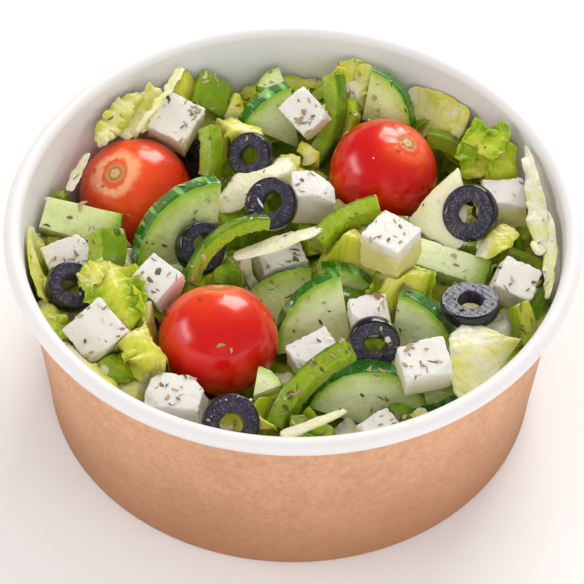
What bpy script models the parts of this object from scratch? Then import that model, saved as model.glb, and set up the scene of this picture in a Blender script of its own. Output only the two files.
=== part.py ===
"""Greek salad in a round kraft-paper bowl.

The bowl is a turned paper wall with a rolled rim and a folded foot ring, and a paper disc set up
inside the foot. It holds one heap of lettuce, shaped under the toppings that lie on it, and on the
heap the toppings: whole tomatoes, blocks of feta, rings of black olive, slices of cucumber and
strips of green pepper. Every topping is its own solid, about 0.3 mm clear of its neighbours.

Units are metres, +Z is up, the bowl stands on z = 0 with its axis on the Z axis.
"""

import math

import bmesh
import bpy
import numpy as np
from mathutils import Matrix, Vector, noise
from mathutils.bvhtree import BVHTree

MM = 0.001

# ---------------------------------------------------------------- driving sizes, in millimetres
BOWL_HEIGHT = 60.0          # top of the rolled rim
RIM_RADIUS = 75.0           # outermost radius of the rolled rim
ROLL_RADIUS = 2.3           # radius of the rolled paper bead
FOOT_RADIUS = 65.4          # outside of the wall where it meets the table
PAPER = 0.6                 # wall thickness
FOOT_FOLD = 2.4             # folded paper foot ring, measured inwards
FOOT_HEIGHT = 6.0           # top of the fold, the disc sits on it
DISC_THICKNESS = 0.7
GAP = 0.3                   # clear distance between touching solids
WALL_STEPS = 48             # flats round the bowl
HEAP_EDGE = 44.0            # height of the lettuce at the wall
HEAP_MIDDLE = 47.0          # height of the lettuce in the middle, where nothing lies on it
HEAP_RINGS = 17             # the heap's grid, outwards
HEAP_SPOKES = 64            # and round
GRID = 1.5                  # spacing of the map of the toppings' undersides
TOMATO_DIMPLE = 0.9         # depth of the stem dimple
FETA_EDGE = 0.7             # softened edges of the feta blocks
SLICE_EDGE = 0.35           # softened edges of slices and strips

# Each topping: name, size, place of its middle, and how it lies.
# "How it lies" is (lean, toward, turn) in degrees: its own Z axis leans by `lean` from straight up
# toward the compass direction `toward`, and the piece is turned by `turn` about that axis.

# size: radius, half height
TOMATOES = [
    ("tomato_left", (15.5, 15.2), (-43, 30, 36.5), (28, -138, -10)),
    ("tomato_right", (14.8, 14.6), (24, 34.5, 42.5), (26, -6, 22)),
    ("tomato_front", (15.5, 14.4), (-18.5, -27.5, 44), (38, 92, 0)),
]

# size: length, width, thickness
FETA_BLOCKS = [
    ("feta_back_left", (11.5, 12, 10.5), (-32.5, 45, 49), (26, -86, -26)),
    ("feta_back", (11, 9.3, 8), (2.5, 47, 52), (34, -106, -50)),
    ("feta_middle", (11.5, 9, 11.5), (5, 20, 47.5), (2, -120, 2)),
    ("feta_centre", (12, 11, 12), (25.5, -2, 53), (2, 168, -36)),
    ("feta_centre_left", (12.5, 9.5, 9), (-3.5, 5.5, 37.5), (6, -18, 22)),
    ("feta_left", (10.2, 10.2, 9.5), (-34.5, -14, 50), (24, -114, -42)),
    ("feta_front_left", (12, 13, 9.5), (-49, -30.5, 49), (34, -104, -50)),
    ("feta_front", (14.5, 10.5, 12), (-28.5, -50, 45), (6, -136, -8)),
    ("feta_slab", (12, 8.5, 8), (6, -33.5, 45.5), (10, -132, 30)),
    ("feta_front_right", (12.5, 10, 10), (33.5, -42.5, 53), (14, -92, 16)),
    ("feta_inner_right", (10, 8.5, 7), (20, -21.5, 47.5), (2, -120, 12)),
    ("feta_right", (10.5, 9.5, 10.5), (57.5, -9, 47), (24, -64, -20)),
    ("feta_back_right", (11, 9.5, 10), (56, 21, 46), (2, 152, 6)),
    ("feta_small", (7.5, 6, 6), (39, 14, 41), (2, 152, 20)),
    ("feta_rim", (9, 7.5, 8), (22.5, -57, 44), (2, 152, 28)),
    ("feta_far_left", (12, 10, 8.5), (-58.5, -2, 44), (14, -116, 24)),
]

# size: outer radius, hole radius, thickness
OLIVE_RINGS = [
    ("olive_back", (6.5, 2.6, 4), (-12, 34.5, 48), (44, -116, -6)),
    ("olive_centre", (7.3, 2.9, 4.5), (-6, 12, 53), (38, -108, -4)),
    ("olive_left", (7.2, 2.9, 4.5), (-24.5, 2.5, 46), (50, -46, 14)),
    ("olive_far_left", (6.9, 2.8, 4.5), (-57, -14.5, 48), (26, -46, 12)),
    ("olive_back_right", (7.8, 3.1, 4.5), (46.5, 12.5, 51), (46, -122, -8)),
    ("olive_right", (7.9, 3.1, 4.3), (45.5, -20, 51), (8, 98, 0)),
    ("olive_arch", (7, 2.9, 4.2), (21, -31, 48.5), (62, -86, 2)),
    ("olive_front", (7.6, 3, 4.3), (-14.5, -59, 49), (30, -76, 4)),
    ("olive_hidden", (6.2, 2.6, 4.5), (-27, 44.5, 35.5), (80, -144, -14)),
]

# size: radius of the cucumber, angle of the wedge cut from the slice, thickness, width of the end
# cut square across (0 where the wedge comes to a point)
CUCUMBERS = [
    ("cucumber_left", (22, 92, 6, 0), (-30, 10, 46), (66, -66, 146)),
    ("cucumber_far_left", (21, 26, 6, 8.5), (-54, 10, 45), (28, -84, -12)),
    ("cucumber_centre", (20, 85, 5.6, 0), (6, -17, 41.5), (63, -80, 148)),
    ("cucumber_behind", (20, 70, 4.2, 0), (-2.5, -8, 36), (26, -96, 120)),
    ("cucumber_band", (14, 60, 4, 0), (13, -4, 40), (76, -90, 72)),
    ("cucumber_right", (18.5, 80, 5.6, 0), (34, -21, 41.5), (67, -110, 32)),
    ("cucumber_front", (16.5, 136, 6.2, 0), (19.5, -40.5, 42), (72, -84, 94)),
    ("cucumber_rind", (15.5, 60, 5, 0), (35.5, -38.5, 32.5), (36, 118, -80)),
    ("cucumber_back_right", (14.5, 80, 4.6, 0), (25, 55, 49.5), (62, -118, 26)),
    ("cucumber_back", (19, 52, 5, 0), (-6, 52, 45.5), (70, -66, 140)),
    ("cucumber_tip", (9, 60, 4.2, 0), (-6.5, 62, 48), (12, -94, 138)),
    ("cucumber_wedge", (22, 20, 6, 7.5), (43, 0.5, 42.5), (18, -86, -18)),
    ("cucumber_bit", (8, 60, 6, 0), (-6, -44, 46), (22, -92, 52)),
]

# size: radius of the curved skin, angle it spans, width of the strip, thickness of the flesh
PEPPERS = [
    ("pepper_arch", (21, 98, 5.2, 4), (-21, -2, 52), (56, -72, 142)),
    ("pepper_front", (40, 43, 6.5, 5.5), (4, -45, 49), (32, -128, 130)),
    ("pepper_middle", (28, 46, 6, 5.5), (13, 9.5, 50), (12, -122, 124)),
    ("pepper_back_right", (21, 54, 4.4, 5), (44.5, 43.5, 43.5), (74, -104, 52)),
    ("pepper_back", (30, 54, 5.5, 5.5), (10, 50, 46), (48, -124, -22)),
    ("pepper_back_left", (24, 36, 5.5, 5), (-22.5, 35, 48.5), (50, -130, -10)),
    ("pepper_chunk", (15, 42, 10, 4.5), (-23.5, 57.5, 48), (54, 176, -24)),
    ("pepper_left", (16, 42, 9, 6.8), (-48, -4.5, 52), (56, -144, -16)),
    ("pepper_ridged", (34, 42, 5.5, 3.4), (55.5, 9, 38.5), (12, 36, 80)),
    ("pepper_right", (18, 36, 6, 4.5), (59.5, -22, 47), (66, -132, -6)),
    ("pepper_far_left", (8, 32, 4, 3.2), (-62.5, 20.5, 44), (8, 98, 78)),
    ("pepper_small", (12, 50, 5, 3.4), (14, -9, 41), (82, -90, 80)),
    ("pepper_rim", (20, 36, 5, 4), (6, -56.5, 44), (2, -120, 68)),
]

KRAFT = (0.62, 0.33, 0.19, 1.0)
WHITE_PAPER = (0.86, 0.84, 0.82, 1.0)
LETTUCE = (0.40, 0.50, 0.08, 1.0)
TOMATO_RED = (0.70, 0.03, 0.01, 1.0)
FETA_WHITE = (0.90, 0.88, 0.82, 1.0)
OLIVE_BLACK = (0.02, 0.017, 0.03, 1.0)
CUCUMBER_GREEN = (0.45, 0.62, 0.22, 1.0)
PEPPER_GREEN = (0.12, 0.30, 0.01, 1.0)


# ---------------------------------------------------------------- scene helpers
def clear_scene():
    """Remove every object left from before."""
    for ob in list(bpy.data.objects):
        bpy.data.objects.remove(ob, do_unlink=True)


def make_material(name, colour, roughness):
    """One plain Principled material."""
    mat = bpy.data.materials.new(name)
    mat.use_nodes = True
    shader = mat.node_tree.nodes["Principled BSDF"]
    shader.inputs["Base Color"].default_value = colour
    shader.inputs["Roughness"].default_value = roughness
    return mat


def new_object(name, verts, faces, edges, collection, mat):
    """A named object from vertices given in millimetres."""
    mesh = bpy.data.meshes.new(name)
    mesh.from_pydata([tuple(c * MM for c in v) for v in verts], edges, faces)
    mesh.update()
    ob = bpy.data.objects.new(name, mesh)
    mesh.materials.append(mat)
    collection.objects.link(ob)
    return ob


def place(ob, middle, pose):
    """Lean, turn and move a piece to where it lies."""
    lean, toward, turn = (math.radians(a) for a in pose)
    ob.matrix_world = (
        Matrix.Translation(Vector(middle) * MM)
        @ Matrix.Rotation(toward, 4, "Z")
        @ Matrix.Rotation(lean, 4, "Y")
        @ Matrix.Rotation(turn - toward, 4, "Z")
    )


def add_screw(ob, steps):
    """Turn the profile once round the Z axis."""
    mod = ob.modifiers.new("turned", "SCREW")
    mod.axis = "Z"
    mod.angle = math.radians(360)
    mod.screw_offset = 0
    mod.steps = steps
    mod.render_steps = steps
    mod.use_merge_vertices = True
    mod.merge_threshold = 0.00001
    mod.use_smooth_shade = True


def add_bevel(ob, width, angle=35):
    """Soften the edges sharper than the given angle."""
    mod = ob.modifiers.new("soft_edges", "BEVEL")
    mod.width = width * MM
    mod.segments = 1
    mod.limit_method = "ANGLE"
    mod.angle_limit = math.radians(angle)


def add_thickness(ob, thickness):
    """Thicken a flat outline equally to both sides."""
    mod = ob.modifiers.new("thickness", "SOLIDIFY")
    mod.thickness = thickness * MM
    mod.offset = 0.0


def profile_edges(count, closed):
    """Edges joining a run of profile points."""
    edges = [(i, i + 1) for i in range(count - 1)]
    if closed:
        edges.append((count - 1, 0))
    return edges


# ---------------------------------------------------------------- bowl
def wall_outer(z):
    """Outside radius of the straight tapered wall at height z."""
    top = BOWL_HEIGHT - ROLL_RADIUS
    return FOOT_RADIUS + (RIM_RADIUS - 2 * ROLL_RADIUS + PAPER - FOOT_RADIUS) * z / top


def wall_inner(z):
    """Inside radius of the wall at height z."""
    return wall_outer(z) - PAPER


def bowl_wall(collection, mat):
    """Tapered wall, rolled rim bead and folded foot ring as one turned solid."""
    bead_r = RIM_RADIUS - ROLL_RADIUS
    bead_z = BOWL_HEIGHT - ROLL_RADIUS
    points = []
    # over the bead from its inside, across the top, down the outside and back under to the wall
    for angle in (180, 135, 90, 45, 0, -50, -100):
        a = math.radians(angle)
        points.append((bead_r + ROLL_RADIUS * math.cos(a), bead_z + ROLL_RADIUS * math.sin(a)))
    under = bead_z - ROLL_RADIUS * 0.95
    points.append((wall_outer(under), under))
    points.append((wall_outer(30.0), 30.0))
    points.append((wall_outer(0.5), 0.5))
    points.append((FOOT_RADIUS - 0.5, 0.0))
    inner = FOOT_RADIUS - FOOT_FOLD
    points.append((inner + 0.4, 0.0))
    points.append((inner, 0.5))
    points.append((inner, FOOT_HEIGHT - 0.3))
    points.append((inner + 0.3, FOOT_HEIGHT))
    points.append((wall_inner(FOOT_HEIGHT), FOOT_HEIGHT))
    points.append((wall_inner(30.0), 30.0))
    ob = new_object("bowl_wall", [(r, 0, z) for r, z in points], [],
                    profile_edges(len(points), True), collection, mat)
    add_screw(ob, WALL_STEPS)
    return ob


def bowl_base(collection, mat):
    """Paper disc on the folded foot, clear of the wall."""
    low = FOOT_HEIGHT + GAP
    high = low + DISC_THICKNESS
    edge = wall_inner(low) - GAP
    points = [(0, high), (edge, high), (edge, low), (0, low)]
    ob = new_object("bowl_base", [(r, 0, z) for r, z in points], [],
                    profile_edges(len(points), False), collection, mat)
    add_screw(ob, WALL_STEPS)
    return ob


# ---------------------------------------------------------------- toppings
def tomato(name, size, collection, mat):
    """Turned body, a little flattened, with a shallow dimple at the stem."""
    radius, half = size
    points = [(0, half - TOMATO_DIMPLE)]
    for angle in (80, 65, 45, 22, 0, -22, -45, -68):
        a = math.radians(angle)
        points.append((radius * math.cos(a), half * math.sin(a)))
    points.append((0, -half))
    ob = new_object(name, [(r, 0, z) for r, z in points], [],
                    profile_edges(len(points), False), collection, mat)
    add_screw(ob, 16)
    return ob


def olive_ring(name, size, collection, mat):
    """A slice of pitted olive: bulging outside, softened cut faces, straight hole."""
    radius, hole, thickness = size
    h = thickness / 2
    points = [(hole, h - 0.4), (hole + 0.4, h), (radius - 0.7, h), (radius, 0),
              (radius - 0.7, -h), (hole, -h)]
    ob = new_object(name, [(r, 0, z) for r, z in points], [],
                    profile_edges(len(points), True), collection, mat)
    add_screw(ob, 15)
    return ob


def feta_block(name, size, collection, mat):
    """A cut block with softened edges."""
    mesh = bpy.data.meshes.new(name)
    bm = bmesh.new()
    bmesh.ops.create_cube(bm, size=1.0)
    bmesh.ops.scale(bm, vec=Vector(size) * MM, verts=bm.verts)
    bm.to_mesh(mesh)
    bm.free()
    mesh.materials.append(mat)
    ob = bpy.data.objects.new(name, mesh)
    collection.objects.link(ob)
    add_bevel(ob, FETA_EDGE)
    return ob


def cucumber_slice(name, size, collection, mat):
    """A wedge of a round slice; its own X axis runs from the middle of the slice to the rind."""
    radius, angle, thickness, square = size
    steps = 8
    verts = [(-0.6 * radius, square / 2, 0), (-0.6 * radius, -square / 2, 0)]
    if square == 0:
        verts = [(-0.6 * radius, 0, 0)]
    for i in range(steps + 1):
        a = math.radians(angle * (i / steps - 0.5))
        verts.append((radius * math.cos(a) - 0.6 * radius, radius * math.sin(a), 0))
    ob = new_object(name, verts, [tuple(range(len(verts)))], [], collection, mat)
    add_thickness(ob, thickness)
    add_bevel(ob, SLICE_EDGE)
    return ob


def pepper_strip(name, size, collection, mat):
    """A curved band of pepper: the middle of its flesh as an open surface, then its thickness.

    Its own X axis points from the flesh out through the skin, its Z axis runs across the band.
    """
    radius, angle, width, flesh = size
    steps = 5
    middle = radius - flesh / 2
    verts = []
    for i in range(steps + 1):
        a = math.radians(angle * (i / steps - 0.5))
        for side in (-width / 2, width / 2):
            verts.append((middle * math.cos(a) - middle, middle * math.sin(a), side))
    faces = [(2 * i, 2 * i + 2, 2 * i + 3, 2 * i + 1) for i in range(steps)]
    ob = new_object(name, verts, faces, [], collection, mat)
    add_thickness(ob, flesh)
    add_bevel(ob, SLICE_EDGE)
    return ob


# ---------------------------------------------------------------- lettuce heap
def world_tree(objects):
    """Search tree over the finished faces of all the given pieces."""
    bpy.context.view_layer.update()
    graph = bpy.context.evaluated_depsgraph_get()
    verts, faces = [], []
    for ob in objects:
        seen = ob.evaluated_get(graph)
        mesh = seen.to_mesh()
        start = len(verts)
        verts.extend(ob.matrix_world @ v.co for v in mesh.vertices)
        faces.extend(tuple(start + i for i in p.vertices) for p in mesh.polygons)
        seen.to_mesh_clear()
    return BVHTree.FromPolygons(verts, faces)


def underside_map(tree):
    """Square grid of places over the bowl, and the heights of the toppings' undersides there."""
    axis = np.arange(-RIM_RADIUS, RIM_RADIUS + GRID, GRID)
    x, y = (g.ravel() for g in np.meshgrid(axis, axis, indexing="ij"))
    z = np.full(x.size, BOWL_HEIGHT)
    for i in range(x.size):
        hit = tree.ray_cast(Vector((x[i], y[i], 8.0)) * MM, Vector((0, 0, 1)))
        if hit[0] is not None:
            z[i] = hit[0].z / MM
    return np.hypot(x, y), np.arctan2(y, x), z


def heap_height(r, a, under, ring, spoke):
    """Height of the lettuce at radius r and angle a: a low uneven mound, pressed down under the
    toppings that reach into the cells beside this corner of the grid."""
    x, y = r * math.cos(a), r * math.sin(a)
    share = r / wall_inner(HEAP_EDGE)
    z = HEAP_MIDDLE + (HEAP_EDGE - HEAP_MIDDLE) * share * share
    z += 1.2 * noise.noise(Vector((x * 0.09, y * 0.09, 3.0)))
    radius, angle, height = under
    turned = np.abs((angle - a + math.pi) % (2 * math.pi) - math.pi)
    near = (np.abs(radius - r) < ring + GRID) & (turned * np.maximum(radius, ring) < spoke + GRID)
    return min(z, float(height[near].min()) - 3 * GAP)


def salad_bed(collection, mat, toppings):
    """The heap of lettuce: a polar grid on top, the bowl's taper at the side, flat below."""
    under = underside_map(world_tree(toppings))
    low = FOOT_HEIGHT + DISC_THICKNESS + 2 * GAP
    edge_low = wall_inner(low) - 2 * GAP
    full = wall_inner(HEAP_EDGE) - 2 * GAP
    ring = full / HEAP_RINGS
    verts = [(0, 0, heap_height(0, 0, under, ring, 99.0))]
    for k in range(1, HEAP_RINGS + 1):
        spoke = 2 * math.pi * k * ring / HEAP_SPOKES
        for i in range(HEAP_SPOKES):
            a = 2 * math.pi * i / HEAP_SPOKES
            z = heap_height(k * ring, a, under, ring, spoke)
            r = min(k * ring, wall_inner(z) - 2 * GAP)
            verts.append((r * math.cos(a), r * math.sin(a), z))
    for i in range(HEAP_SPOKES):
        a = 2 * math.pi * i / HEAP_SPOKES
        verts.append((edge_low * math.cos(a), edge_low * math.sin(a), low))
    verts.append((0, 0, low))
    faces = [(0, 1 + i, 1 + (i + 1) % HEAP_SPOKES) for i in range(HEAP_SPOKES)]
    for k in range(HEAP_RINGS):
        row = 1 + k * HEAP_SPOKES
        for i in range(HEAP_SPOKES):
            j = (i + 1) % HEAP_SPOKES
            faces.append((row + i, row + HEAP_SPOKES + i, row + HEAP_SPOKES + j, row + j))
    last = 1 + HEAP_RINGS * HEAP_SPOKES
    faces += [(last + (i + 1) % HEAP_SPOKES, last + i, len(verts) - 1)
              for i in range(HEAP_SPOKES)]
    return new_object("salad_bed", verts, faces, [], collection, mat)


# ---------------------------------------------------------------- assembly
def main():
    """Build the bowl, the toppings and the heap under them."""
    clear_scene()
    collection = bpy.data.collections.new("greek_salad_bowl")
    bpy.context.scene.collection.children.link(collection)
    kraft = make_material("kraft_paper", KRAFT, 0.7)
    white = make_material("white_paper", WHITE_PAPER, 0.5)
    bowl_wall(collection, kraft)
    bowl_base(collection, white)
    kinds = (
        (TOMATOES, tomato, make_material("tomato", TOMATO_RED, 0.2)),
        (FETA_BLOCKS, feta_block, make_material("feta", FETA_WHITE, 0.6)),
        (OLIVE_RINGS, olive_ring, make_material("olive", OLIVE_BLACK, 0.3)),
        (CUCUMBERS, cucumber_slice, make_material("cucumber", CUCUMBER_GREEN, 0.35)),
        (PEPPERS, pepper_strip, make_material("pepper", PEPPER_GREEN, 0.3)),
    )
    toppings = []
    for rows, build, mat in kinds:
        for name, size, middle, pose in rows:
            ob = build(name, size, collection, mat)
            place(ob, middle, pose)
            toppings.append(ob)
    salad_bed(collection, make_material("lettuce", LETTUCE, 0.4), toppings)
    for ob in collection.objects:
        flat = ob.name.startswith(("feta", "cucumber", "pepper"))
        ob.data.polygons.foreach_set("use_smooth", [not flat] * len(ob.data.polygons))


main()
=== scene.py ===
"""Looks of a greek salad in a round kraft-paper bowl.

A turned paper bowl with a rolled white rim, a heap of torn lettuce, and on it whole tomatoes,
feta, rings of black olive, slices of cucumber and strips of green pepper, with oregano, crumbs of
cheese and drops of water over them.

Lengths are millimetres until a surface becomes a mesh. Every topping is worked out about its own
middle, turned to the way it lies, and set on the middle of its solid's box in the frame.
"""

import logging
import math
from dataclasses import dataclass, field, replace
from enum import Enum
from typing import ClassVar

import bpy
import numpy as np
from bpy.types import Material, Mesh, Node, NodeSocket, NodeTree, Object
from mathutils import Matrix, Vector


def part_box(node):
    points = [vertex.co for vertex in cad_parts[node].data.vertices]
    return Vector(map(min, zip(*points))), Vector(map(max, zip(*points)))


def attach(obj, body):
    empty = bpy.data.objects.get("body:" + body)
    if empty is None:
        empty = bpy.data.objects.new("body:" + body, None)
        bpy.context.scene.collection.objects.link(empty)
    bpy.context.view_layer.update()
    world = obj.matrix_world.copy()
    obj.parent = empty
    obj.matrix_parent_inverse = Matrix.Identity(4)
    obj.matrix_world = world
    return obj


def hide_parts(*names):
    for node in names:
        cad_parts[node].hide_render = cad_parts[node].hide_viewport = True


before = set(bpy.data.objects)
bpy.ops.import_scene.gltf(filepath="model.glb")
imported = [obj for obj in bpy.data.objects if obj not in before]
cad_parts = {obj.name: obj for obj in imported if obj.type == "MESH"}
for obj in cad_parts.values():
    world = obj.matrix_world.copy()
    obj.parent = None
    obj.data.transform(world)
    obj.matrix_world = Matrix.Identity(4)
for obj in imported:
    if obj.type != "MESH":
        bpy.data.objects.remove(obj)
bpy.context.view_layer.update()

MM = 0.001
TAU = 2.0 * math.pi
Array = np.ndarray
LOG = logging.getLogger("greek_salad_bowl")


# ---- numpy surfaces
@dataclass
class Surface:
    """Points in millimetres, four-cornered faces, and values kept at the points."""

    points: Array
    quads: Array
    marks: dict[str, Array] = field(default_factory=dict)

    def welded(self) -> "Surface":
        """Merge points that lie on one another, so that seams and poles are closed.

        Returns:
            The same surface on its distinct points.
        """
        keys = np.round(self.points * 2e3).astype(np.int64)
        _, first, back = np.unique(keys, axis=0, return_index=True, return_inverse=True)
        marks = {name: values[first] for name, values in self.marks.items()}
        return Surface(self.points[first], back.reshape(-1)[self.quads], marks)

    def outward(self) -> "Surface":
        """Turn the faces of a closed surface outwards, by the sign of the volume they enclose.

        Returns:
            The surface with its faces the right way round.
        """
        a, b, c, d = (self.points[self.quads[:, k]] for k in range(4))
        volume = np.einsum("ij,ij->i", a, np.cross(b, c) + np.cross(c, d)).sum()
        return self if volume > 0 else Surface(self.points, self.quads[:, ::-1], self.marks)


def joined(surfaces: list[Surface]) -> Surface:
    """One surface of several.

    Args:
        surfaces: surfaces with the same marks.

    Returns:
        All their points and faces in one.
    """
    starts = np.cumsum([0] + [len(s.points) for s in surfaces[:-1]])
    quads = np.concatenate([s.quads + k for s, k in zip(surfaces, starts)])
    marks = {n: np.concatenate([s.marks[n] for s in surfaces]) for n in surfaces[0].marks}
    return Surface(np.concatenate([s.points for s in surfaces]), quads, marks)


def grid_quads(rows: int, cols: int, round_cols: bool = False,
               round_rows: bool = False) -> Array:
    """Faces of a grid of points numbered row by row.

    Args:
        rows: number of rows.
        cols: number of points in a row.
        round_cols: whether each row closes on itself.
        round_rows: whether the last row joins the first.

    Returns:
        Four point numbers a face.
    """
    i, j = np.meshgrid(np.arange(rows - 1 + round_rows), np.arange(cols - 1 + round_cols),
                       indexing="ij")
    i, j = i.ravel(), j.ravel()
    below, right = (i + 1) % rows * cols, (j + 1) % cols
    return coords(i * cols + j, i * cols + right, below + right, below + j)


def globe(turns: Array, cols: int, radius: float = 1.0, half: float = 1.0) -> tuple:
    """A grid of points on a ball or a flattened ball.

    At polar angle t and turn a a point is (R sin t cos a, R sin t sin a, H cos t).

    Args:
        turns: the polar angles of the rows.
        cols: number of points in a row.
        radius: R, the radius across.
        half: H, half the height.

    Returns:
        The polar angle, the turn and the place of each point.
    """
    t, a = np.meshgrid(turns, np.arange(cols) * TAU / cols, indexing="ij")
    return t, a, coords(radius * np.sin(t) * np.cos(a), radius * np.sin(t) * np.sin(a),
                        half * np.cos(t))


def triangles(mesh: Mesh) -> Array:
    """Read a mesh.

    Args:
        mesh: the mesh.

    Returns:
        The three corners of each of its triangles, in millimetres.
    """
    places = np.zeros(len(mesh.vertices) * 3, np.float32)
    mesh.vertices.foreach_get("co", places)
    mesh.calc_loop_triangles()
    corners = np.zeros(len(mesh.loop_triangles) * 3, np.int32)
    mesh.loop_triangles.foreach_get("vertices", corners)
    return places.reshape(-1, 3)[corners.reshape(-1, 3)] / MM


def coords(*parts: Array | float) -> Array:
    """Points, or rows of numbers, from their parts, which are spread over one another."""
    return np.stack(np.broadcast_arrays(*parts), axis=-1)


def both(upper: Array, lower: Array) -> Array:
    """A sheet's two skins in one grid: across the upper one and back across the lower one."""
    return np.concatenate([upper, lower[:, ::-1]], axis=1)


def ripple(points: Array, length: float, seed: int, count: int = 10) -> Array:
    """Smooth unevenness: the sum of sine waves of about one length in random directions.

    Args:
        points: places, the last axis being x, y, z.
        length: wavelength in the points' unit.
        seed: fixes the directions and phases.
        count: number of waves.

    Returns:
        Values mostly between -1 and 1.
    """
    rng = np.random.default_rng(seed)
    ways = rng.normal(size=(count, points.shape[-1]))
    ways /= np.linalg.norm(ways, axis=1, keepdims=True)
    ways *= TAU / length * rng.uniform(0.6, 1.5, (count, 1))
    return np.sin(points @ ways.T + rng.uniform(0, TAU, count)).sum(-1) / math.sqrt(count)


def smooth(low: float, high: float, values: Array) -> Array:
    """Smooth step from 0 at `low` to 1 at `high`: 3t^2 - 2t^3 of the clipped share t."""
    t = np.clip((values - low) / (high - low), 0.0, 1.0)
    return t * t * (3.0 - 2.0 * t)


def grid_normals(points: Array) -> Array:
    """Unit normals of a grid of points: the cross product of the steps along its two ways.

    Args:
        points: the grid, row by row.

    Returns:
        One normal a point.
    """
    across = np.gradient(points, axis=1)
    along = np.gradient(points, axis=0)
    normal = np.cross(across, along)
    return normal / np.maximum(np.linalg.norm(normal, axis=-1, keepdims=True), 1e-9)


def make_object(name: str, surface: Surface, *materials: Material,
                slots: Array | None = None, crease: float | None = None) -> Object:
    """Put a surface into a mesh object that stands at the origin.

    Faces with two equal corners become triangles, and faces with fewer than three are left out.

    Args:
        name: name of the object.
        surface: the surface, in millimetres.
        materials: its materials.
        slots: number of the material of each face, or None for the first.
        crease: angle in degrees above which an edge stays sharp, or None for none.

    Returns:
        The new object.
    """
    same = surface.quads == np.roll(surface.quads, -1, axis=1)
    repeats = same.sum(axis=1)
    fours = surface.quads[repeats == 0]
    threes = surface.quads[repeats == 1][~same[repeats == 1]].reshape(-1, 3)
    corners = np.concatenate([fours.ravel(), threes.ravel()]).astype(np.int32)
    sizes = np.concatenate([np.full(len(fours), 4), np.full(len(threes), 3)])
    mesh = bpy.data.meshes.new(name)
    mesh.vertices.add(len(surface.points))
    mesh.vertices.foreach_set("co", (surface.points * MM).astype(np.float32).ravel())
    mesh.loops.add(len(corners))
    mesh.loops.foreach_set("vertex_index", corners)
    mesh.polygons.add(len(sizes))
    mesh.polygons.foreach_set("loop_start", (np.cumsum(sizes) - sizes).astype(np.int32))
    if slots is not None:
        kept = np.concatenate([slots[repeats == 0], slots[repeats == 1]]).astype(np.int32)
        mesh.polygons.foreach_set("material_index", kept)
    mesh.update(calc_edges=True)
    for key, values in surface.marks.items():
        kind, part = ("FLOAT", "value") if values.ndim == 1 else ("FLOAT_VECTOR", "vector")
        layer = mesh.attributes.new(key, kind, "POINT")
        layer.data.foreach_set(part, values.astype(np.float32).ravel())
    mesh.polygons.foreach_set("use_smooth", np.ones(len(sizes), bool))
    if crease is not None:
        mesh.set_sharp_from_angle(angle=math.radians(crease))
    mesh.validate()
    for material in materials:
        mesh.materials.append(material)
    piece = bpy.data.objects.new(name, mesh)
    bpy.context.scene.collection.objects.link(piece)
    return piece


def report(piece: Object, slot: str, *nodes: str) -> Object:
    """Ride a piece on the bowl, hide the solids it stands in for and log it.

    Args:
        piece: the finished object.
        slot: not used.
        nodes: the solids it replaces, if any.

    Returns:
        The same object.
    """
    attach(piece, "root")
    if nodes:
        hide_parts(*nodes)
    faces = np.array([p.loop_total for p in piece.data.polygons])
    LOG.info("%s: %d triangles", piece.name, int((faces - 2).sum()))
    return piece


@dataclass(frozen=True)
class Lie:
    """How a topping lies: its own Z axis leans by `lean` toward the direction `toward`, and the
    topping is turned by `turn` about that axis. Degrees."""

    lean: float
    toward: float
    turn: float

    def axes(self) -> Array:
        """The turn as a matrix.

        Returns:
            Three by three numbers, whose columns are the topping's own axes.
        """
        turned = (Matrix.Rotation(math.radians(self.toward), 3, "Z")
                  @ Matrix.Rotation(math.radians(self.lean), 3, "Y")
                  @ Matrix.Rotation(math.radians(self.turn - self.toward), 3, "Z"))
        return np.array(turned)

    def settle(self, surface: Surface, outline: Array, node: str,
               soak_and_shade: float | None = None) -> Surface:
        """Turn a surface and set it on its solid.

        Args:
            surface: the surface about the topping's own middle.
            outline: points whose box has the solid's box as its match, before any roughening.
            node: name of the solid.
            soak_and_shade: value of the mark "low" at the foot, 0 at the top, or None for no mark;
                it sets painted shade, on feta together with a juice tint.

        Returns:
            The surface in the bowl, with its own coordinates kept in the mark "own".
        """
        axes = self.axes()
        turned = outline @ axes.T
        low, high = (np.array(corner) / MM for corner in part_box(node))
        shift = (low + high) / 2 - (turned.min(axis=0) + turned.max(axis=0)) / 2
        points = surface.points @ axes.T + shift
        marks = dict(surface.marks, own=surface.points.copy())
        if soak_and_shade is not None:
            height = points[:, 2]
            marks["low"] = soak_and_shade * (height.max() - height) / np.ptp(height)
        return Surface(points, surface.quads, marks)


# ---- node trees
@dataclass(frozen=True)
class Value:
    """What a node gives out. Arithmetic on it adds Math nodes to its tree."""

    tree: "Tree"
    socket: NodeSocket

    def __add__(self, other: object) -> "Value":
        """This value plus another."""
        return self.tree.math("ADD", self, other)

    def __sub__(self, other: object) -> "Value":
        """This value less another."""
        return self.tree.math("SUBTRACT", self, other)

    def __mul__(self, other: object) -> "Value":
        """This value times another."""
        return self.tree.math("MULTIPLY", self, other)

    def about(self, spread: float) -> "Value":
        """A cloud about one half turned into one about zero: its distance from 0.5, spread."""
        return (self - 0.5) * spread

    def clamped(self) -> "Value":
        """The sum or product just made, kept between 0 and 1."""
        self.socket.node.use_clamp = True
        return self


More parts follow.
